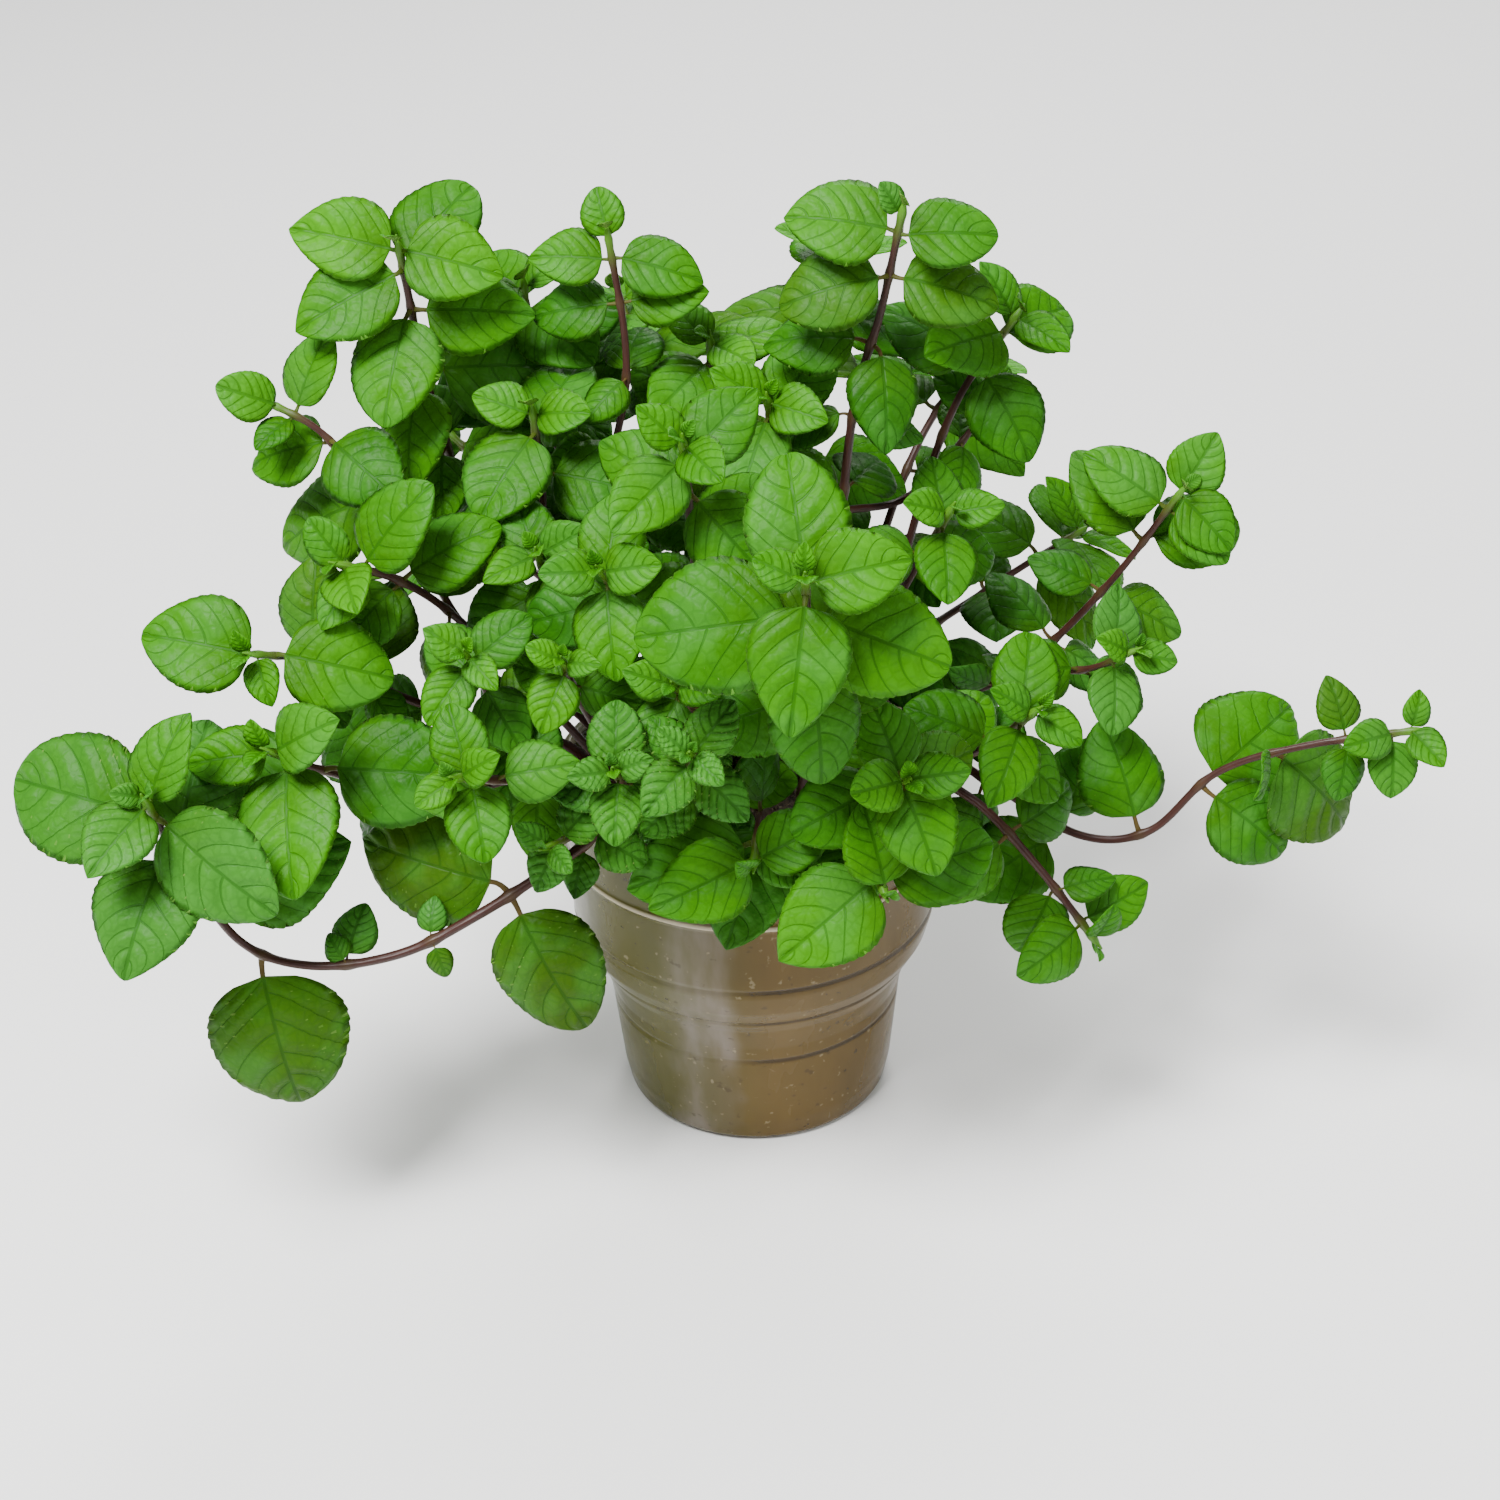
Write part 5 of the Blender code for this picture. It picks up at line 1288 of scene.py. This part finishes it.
def fine_leaf(shoot, leaf, seed):
    """A leaf's points, triangles and attributes: spot holds the share of the length, the share of
    the half width and the length in millimetres; flat the place on the unrolled leaf in millimetres
    and the leaf's own seed; tone its age, its tint and which side it is."""
    rng = np.random.default_rng([seed, 7])
    teeth, columns = LEAF_SIZES[leaf_form(leaf["length"])]
    v, side = leaf_ring(columns)
    lot = rng.uniform(0, LEAF_LOTS)
    blade = fine_blade(leaf, teeth, columns, lot, CRINKLED.get(shoot["node"], 1.0))
    parts = [fine_stalk(shoot, leaf, columns), blade]
    points, u, x = (np.concatenate([part[i] for part in parts]) for i in range(3))
    tip = leaf_surface(leaf, np.array([1.0]), np.array([0.0]))[0]
    rows = len(points)
    root = points[0].mean(axis=0)
    points = np.concatenate([[root], points.reshape(-1, 3), [tip]])
    u = np.concatenate([[u[0, 0]], u.ravel(), [1.0]])
    across = (x.ravel(), np.tile(v, rows), np.tile(side, rows))
    x, v, side = (np.concatenate([[0.0], each, [0.0]]) for each in across)
    age = grown_share(leaf["pair"])
    if leaf["pair"] >= OLD_PAIRS.get(shoot["node"], math.inf) and leaf["length"] > OLD_LENGTH:
        age = OLD_AGE
    tint = NODE_TINT.get(shoot["node"], 0.0) + rng.normal(0, TINT_SPREAD)
    full = np.ones_like(u)
    length = leaf["length"] / MM
    spot = np.stack([u, v, full * length], axis=-1)
    flat = np.stack([x / MM, u * length, full * lot], axis=-1)
    tone = np.stack([full * age, full * tint, side], axis=-1)
    return points, ring_faces(1, rows, 2 * columns, 0, len(points) - 1), spot, flat, tone


def mint_leaf():
    """Green that is yellower in young leaves, with darker veins above, partly their own colour and
    partly painted shade in their sunken lines, pale ones below, a fine net of veins between them,
    and a soft gloss."""
    finish = Finish("mint_leaf", Specular_IOR_Level=0.07)
    u, across, length, _ = finish.read("spot")
    x, _, seed, flat = finish.read("flat")
    age, tint, side, _ = finish.read("tone")
    v = finish.maths("ABSOLUTE", across)
    sweep = finish.times(finish.maths("POWER", v, VEIN_CURVE), VEIN_SWEEP)
    sweep = finish.times(sweep, finish.line(u, -VEIN_CLOSE, 1.0))
    stray = finish.line(across, STRAY_ACROSS, seed)
    stray = finish.maths("SINE", finish.line(u, STRAY_ALONG, stray))
    stray = finish.times(stray, VEIN_STRAY)
    passed = finish.maths("ADD", finish.maths("SUBTRACT", u, sweep), stray)
    lag = finish.times(finish.maths("GREATER_THAN", across, 0.0), VEIN_LAG)
    passed = finish.maths("ADD", finish.maths("DIVIDE", passed, VEIN_STEP), lag)
    apart = finish.times(finish.maths("PINGPONG", passed, 0.5), finish.times(length, VEIN_STEP))
    thin = finish.line(v, -0.2, 0.36)
    veins = finish.ramp(finish.maths("DIVIDE", apart, thin), 0.3, 1.3, 1, 0)
    rib = finish.ramp(finish.maths("ABSOLUTE", x), 0.2, 0.6, 1, 0)
    net = finish.node(
        "ShaderNodeTexVoronoi", {"Vector": flat, "Scale": 0.42}, feature="DISTANCE_TO_EDGE"
    ).outputs["Distance"]
    net = finish.ramp(net, 0.02, 0.2, 0.3, 0)
    lines = finish.maths("MAXIMUM", finish.maths("MAXIMUM", veins, rib), net)
    lot = finish.maths("FRACT", finish.times(seed, 0.37))
    patches = finish.noise(flat, 9, 3)
    shade = finish.line(lot, 0.8, finish.line(patches, 0.9, -0.35))
    mature = finish.blend(shade, (0.007, 0.056, 0.001), (0.033, 0.178, 0.001))
    young = finish.blend(shade, (0.028, 0.165, 0.001), (0.054, 0.250, 0.002))
    colour = finish.blend(finish.ramp(age, 0.0, 0.9), young, mature)
    warm = finish.ramp(tint, 0, 1.2, 0, 0.7)
    # The cool tint is partly the leaves' own greyer green and partly painted sheen.
    cool = finish.ramp(tint, 0, -1.2, 0, 0.7)
    colour = finish.blend(warm, colour, (0.044, 0.205, 0.001))
    colour = finish.blend(cool, colour, (0.040, 0.170, 0.020))
    olive = finish.times(finish.ramp(lot, 0.80, 0.90), finish.ramp(age, 0.4, 0.9, 0, 0.8))
    olive = finish.maths("MAXIMUM", olive, finish.ramp(age, 1.1, 1.5, 0, 0.9))
    colour = finish.blend(olive, colour, (0.030, 0.072, 0.002))
    heart = finish.times(finish.ramp(u, 0.55, 0.05), finish.ramp(patches, 0.3, 0.6, 0.3, 0.8))
    colour = finish.blend(heart, colour, (0.024, 0.098, 0.001))
    bloom = finish.ramp(finish.noise(flat, 14, 2), 0.45, 0.65, 0, 0.35)
    colour = finish.blend(bloom, colour, (0.044, 0.190, 0.024))
    above = finish.ramp(side, -0.3, 0.3)
    under = finish.blend(0.5, colour, (0.080, 0.190, 0.022))
    colour = finish.blend(above, under, colour)
    # Above, the veins are darkened partly as their own colour and partly as painted shade in their sunken
    # lines.
    dark_lines = finish.blend(finish.times(lines, 0.48), colour, (0.005, 0.042, 0.001))
    pale_lines = finish.blend(finish.times(lines, 0.5), colour, (0.17, 0.25, 0.06))
    colour = finish.blend(above, pale_lines, dark_lines)
    stalk = finish.ramp(u, 0.02, -0.02)
    colour = finish.blend(finish.times(stalk, age), colour, (0.070, 0.048, 0.014))
    relief = finish.times(lines, finish.times(side, -1.0))
    relief = finish.line(finish.noise(flat, 0.8, 3), 0.35, relief)
    finish.set(
        Base_Color=colour,
        Roughness=finish.line(patches, 0.2, 0.34),
        Normal=finish.bump(relief, 0.13 * MM),
    )
    return finish.material


# Leafy stems
# Each stem is a square stalk with rounded corners, swollen where a pair of leaves grows. It is dark
# purple-brown and turns green near the tip. Stem, side shoots and leaves are one living piece.
STEM_STEP = 1.3 * MM
STEM_SIDES = 12
SQUARENESS = 1.35
KNOT_SWELL = 0.32
KNOT_SPREAD = 1.7 * MM
GREEN_TIP = 10 * MM
TIP_TAPER = 3 * MM
TIP_LEAST = 0.3


def fine_stem(shoot, seed):
    """A stem's points, triangles and attributes. Its section at each place is a rounded square,
    |x| ** p + |y| ** p = radius ** p, which swells near each pair as exp(-(distance / spread) ** 2)."""
    way = shoot["way"]
    along = np.linspace(0, way.length, int(way.length / STEM_STEP) + 1)
    middle, heading, side = (
        np.stack([np.interp(along, way.along, rows[:, i]) for i in range(3)], axis=-1)
        for rows in (way.points, way.headings, way.sides)
    )
    heading = units(heading)
    side = units(side - heading * (heading * side).sum(axis=1)[:, None])
    other = np.cross(heading, side)
    knots = np.array([0.0, *shoot["leaf_places"].values()])
    swell = KNOT_SWELL * np.exp(-(((along[:, None] - knots) / KNOT_SPREAD) ** 2)).max(axis=1)
    radius = stem_radius(shoot, along) * (1 + swell)
    radius = radius * np.clip((way.length - along) / TIP_TAPER, TIP_LEAST, 1)
    turn = np.arange(STEM_SIDES) * 2 * math.pi / STEM_SIDES
    square = np.abs(np.cos(turn)) ** SQUARENESS + np.abs(np.sin(turn)) ** SQUARENESS
    square = square ** (-1 / SQUARENESS)
    out = radius[:, None] * square
    rings = middle[:, None] + (out * np.cos(turn))[..., None] * side[:, None]
    rings = rings + (out * np.sin(turn))[..., None] * other[:, None]
    tip = middle[-1] + heading[-1] * radius[-1]
    points = np.concatenate([[middle[0]], rings.reshape(-1, 3), [tip]])
    place = np.concatenate([[0.0], np.repeat(along, STEM_SIDES), [way.length]])
    angle = np.concatenate([[0.0], np.tile(turn, len(along)), [0.0]])
    green = np.exp(-(way.length - place) / GREEN_TIP)
    near = np.interp(place, along, swell) / KNOT_SWELL
    spot = np.stack([place / MM, angle, np.full(len(place), float(seed))], axis=-1)
    tone = np.stack([green, near, np.ones(len(place))], axis=-1)
    faces = ring_faces(1, len(along), STEM_SIDES, 0, len(points) - 1)
    return points, faces, spot, points / MM, tone


def mint_stem():
    """Purple-brown skin with fine streaks along the stem, greener at the tip and at the knots."""
    finish = Finish("mint_stem", Roughness=0.42, Specular_IOR_Level=0.25)
    along, angle, seed, _ = finish.read("spot")
    green, near, _, _ = finish.read("tone")
    slow = finish.times(along, 0.12)
    flat = finish.node("ShaderNodeCombineXYZ", {0: slow, 1: angle, 2: seed}).outputs[0]
    streaks = finish.noise(flat, 0.5, 4)
    colour = finish.blend(streaks, (0.012, 0.003, 0.003), (0.056, 0.017, 0.010))
    colour = finish.blend(finish.times(near, 0.2), colour, (0.075, 0.065, 0.014))
    tips = finish.blend(streaks, (0.040, 0.120, 0.004), (0.080, 0.260, 0.010))
    colour = finish.blend(finish.ramp(green, 0.25, 0.85), colour, tips)
    finish.set(Base_Color=colour, Normal=finish.bump(streaks, 0.1 * MM))
    return finish.material


def leafy_stem(node, its_shoots, finishes):
    """One piece of a stem, its side shoots and all their leaves."""
    parts, kinds = [], []
    for shoot in its_shoots:
        number = shoots.index(shoot)
        parts.append(fine_stem(shoot, number))
        kinds.append(np.ones(len(parts[-1][1]), int))
        for i, leaf in enumerate(shoot["leaves"]):
            parts.append(fine_leaf(shoot, leaf, 100 * number + i))
            kinds.append(np.zeros(len(parts[-1][1]), int))
    starts = np.cumsum([0] + [len(part[0]) for part in parts[:-1]])
    points, spot, flat, tone = (np.concatenate([part[i] for part in parts]) for i in (0, 2, 3, 4))
    faces = np.concatenate([part[1] + start for part, start in zip(parts, starts)])
    kinds = np.concatenate(kinds)
    piece = new_piece("leafy_" + node, points, faces, finishes, kinds, spot=spot, flat=flat, tone=tone)
    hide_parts(node)


stem_finishes = [mint_leaf(), mint_stem()]
for node in dict.fromkeys(shoot["node"] for shoot in shoots):
    leafy_stem(node, [shoot for shoot in shoots if shoot["node"] == node], stem_finishes)

# Floor and light
# A plain pale floor, a wide soft light in front and to the left, a weaker one to the right, and a
# pale sky all round.
FLOOR_HALF = 4.0
SKY_COLOUR = (1.0, 1.0, 1.0)
SKY_STRENGTH = 0.42
LIGHTS_FACE = Vector((0, 0, 0.12))
SOFT_LIGHTS = (
    ("key", (-0.6, -0.75, 1.7), 0.7, 98.0),
    ("fill", (1.2, -0.9, 1.0), 0.8, 9.0),
    ("back", (0.3, 1.3, 1.3), 0.8, 22.0),
)


def soft_light(name, place, size, power):
    """A square area light that faces the plant."""
    data = bpy.data.lights.new(name, "AREA")
    data.size = size
    data.energy = power
    made = bpy.data.objects.new(name, data)
    made.location = place
    made.rotation_euler = (LIGHTS_FACE - Vector(place)).to_track_quat("-Z", "Y").to_euler()
    bpy.context.scene.collection.objects.link(made)


for each in SOFT_LIGHTS:
    soft_light(*each)
floor_mesh = bpy.data.meshes.new("floor")
corners = [(x * FLOOR_HALF, y * FLOOR_HALF, 0) for x, y in ((-1, -1), (1, -1), (1, 1), (-1, 1))]
floor_mesh.from_pydata(corners, [], [(0, 1, 2, 3)])
floor_finish = Finish("pale_floor", Base_Color=(0.86, 0.86, 0.85), Roughness=0.6)
floor_mesh.materials.append(floor_finish.material)
floor = bpy.data.objects.new("floor", floor_mesh)
bpy.context.scene.collection.objects.link(floor)
world = bpy.data.worlds.new("sky")
world.use_nodes = True
sky = world.node_tree.nodes["Background"].inputs
sky["Color"].default_value = (*SKY_COLOUR, 1.0)
sky["Strength"].default_value = SKY_STRENGTH
bpy.context.scene.world = world
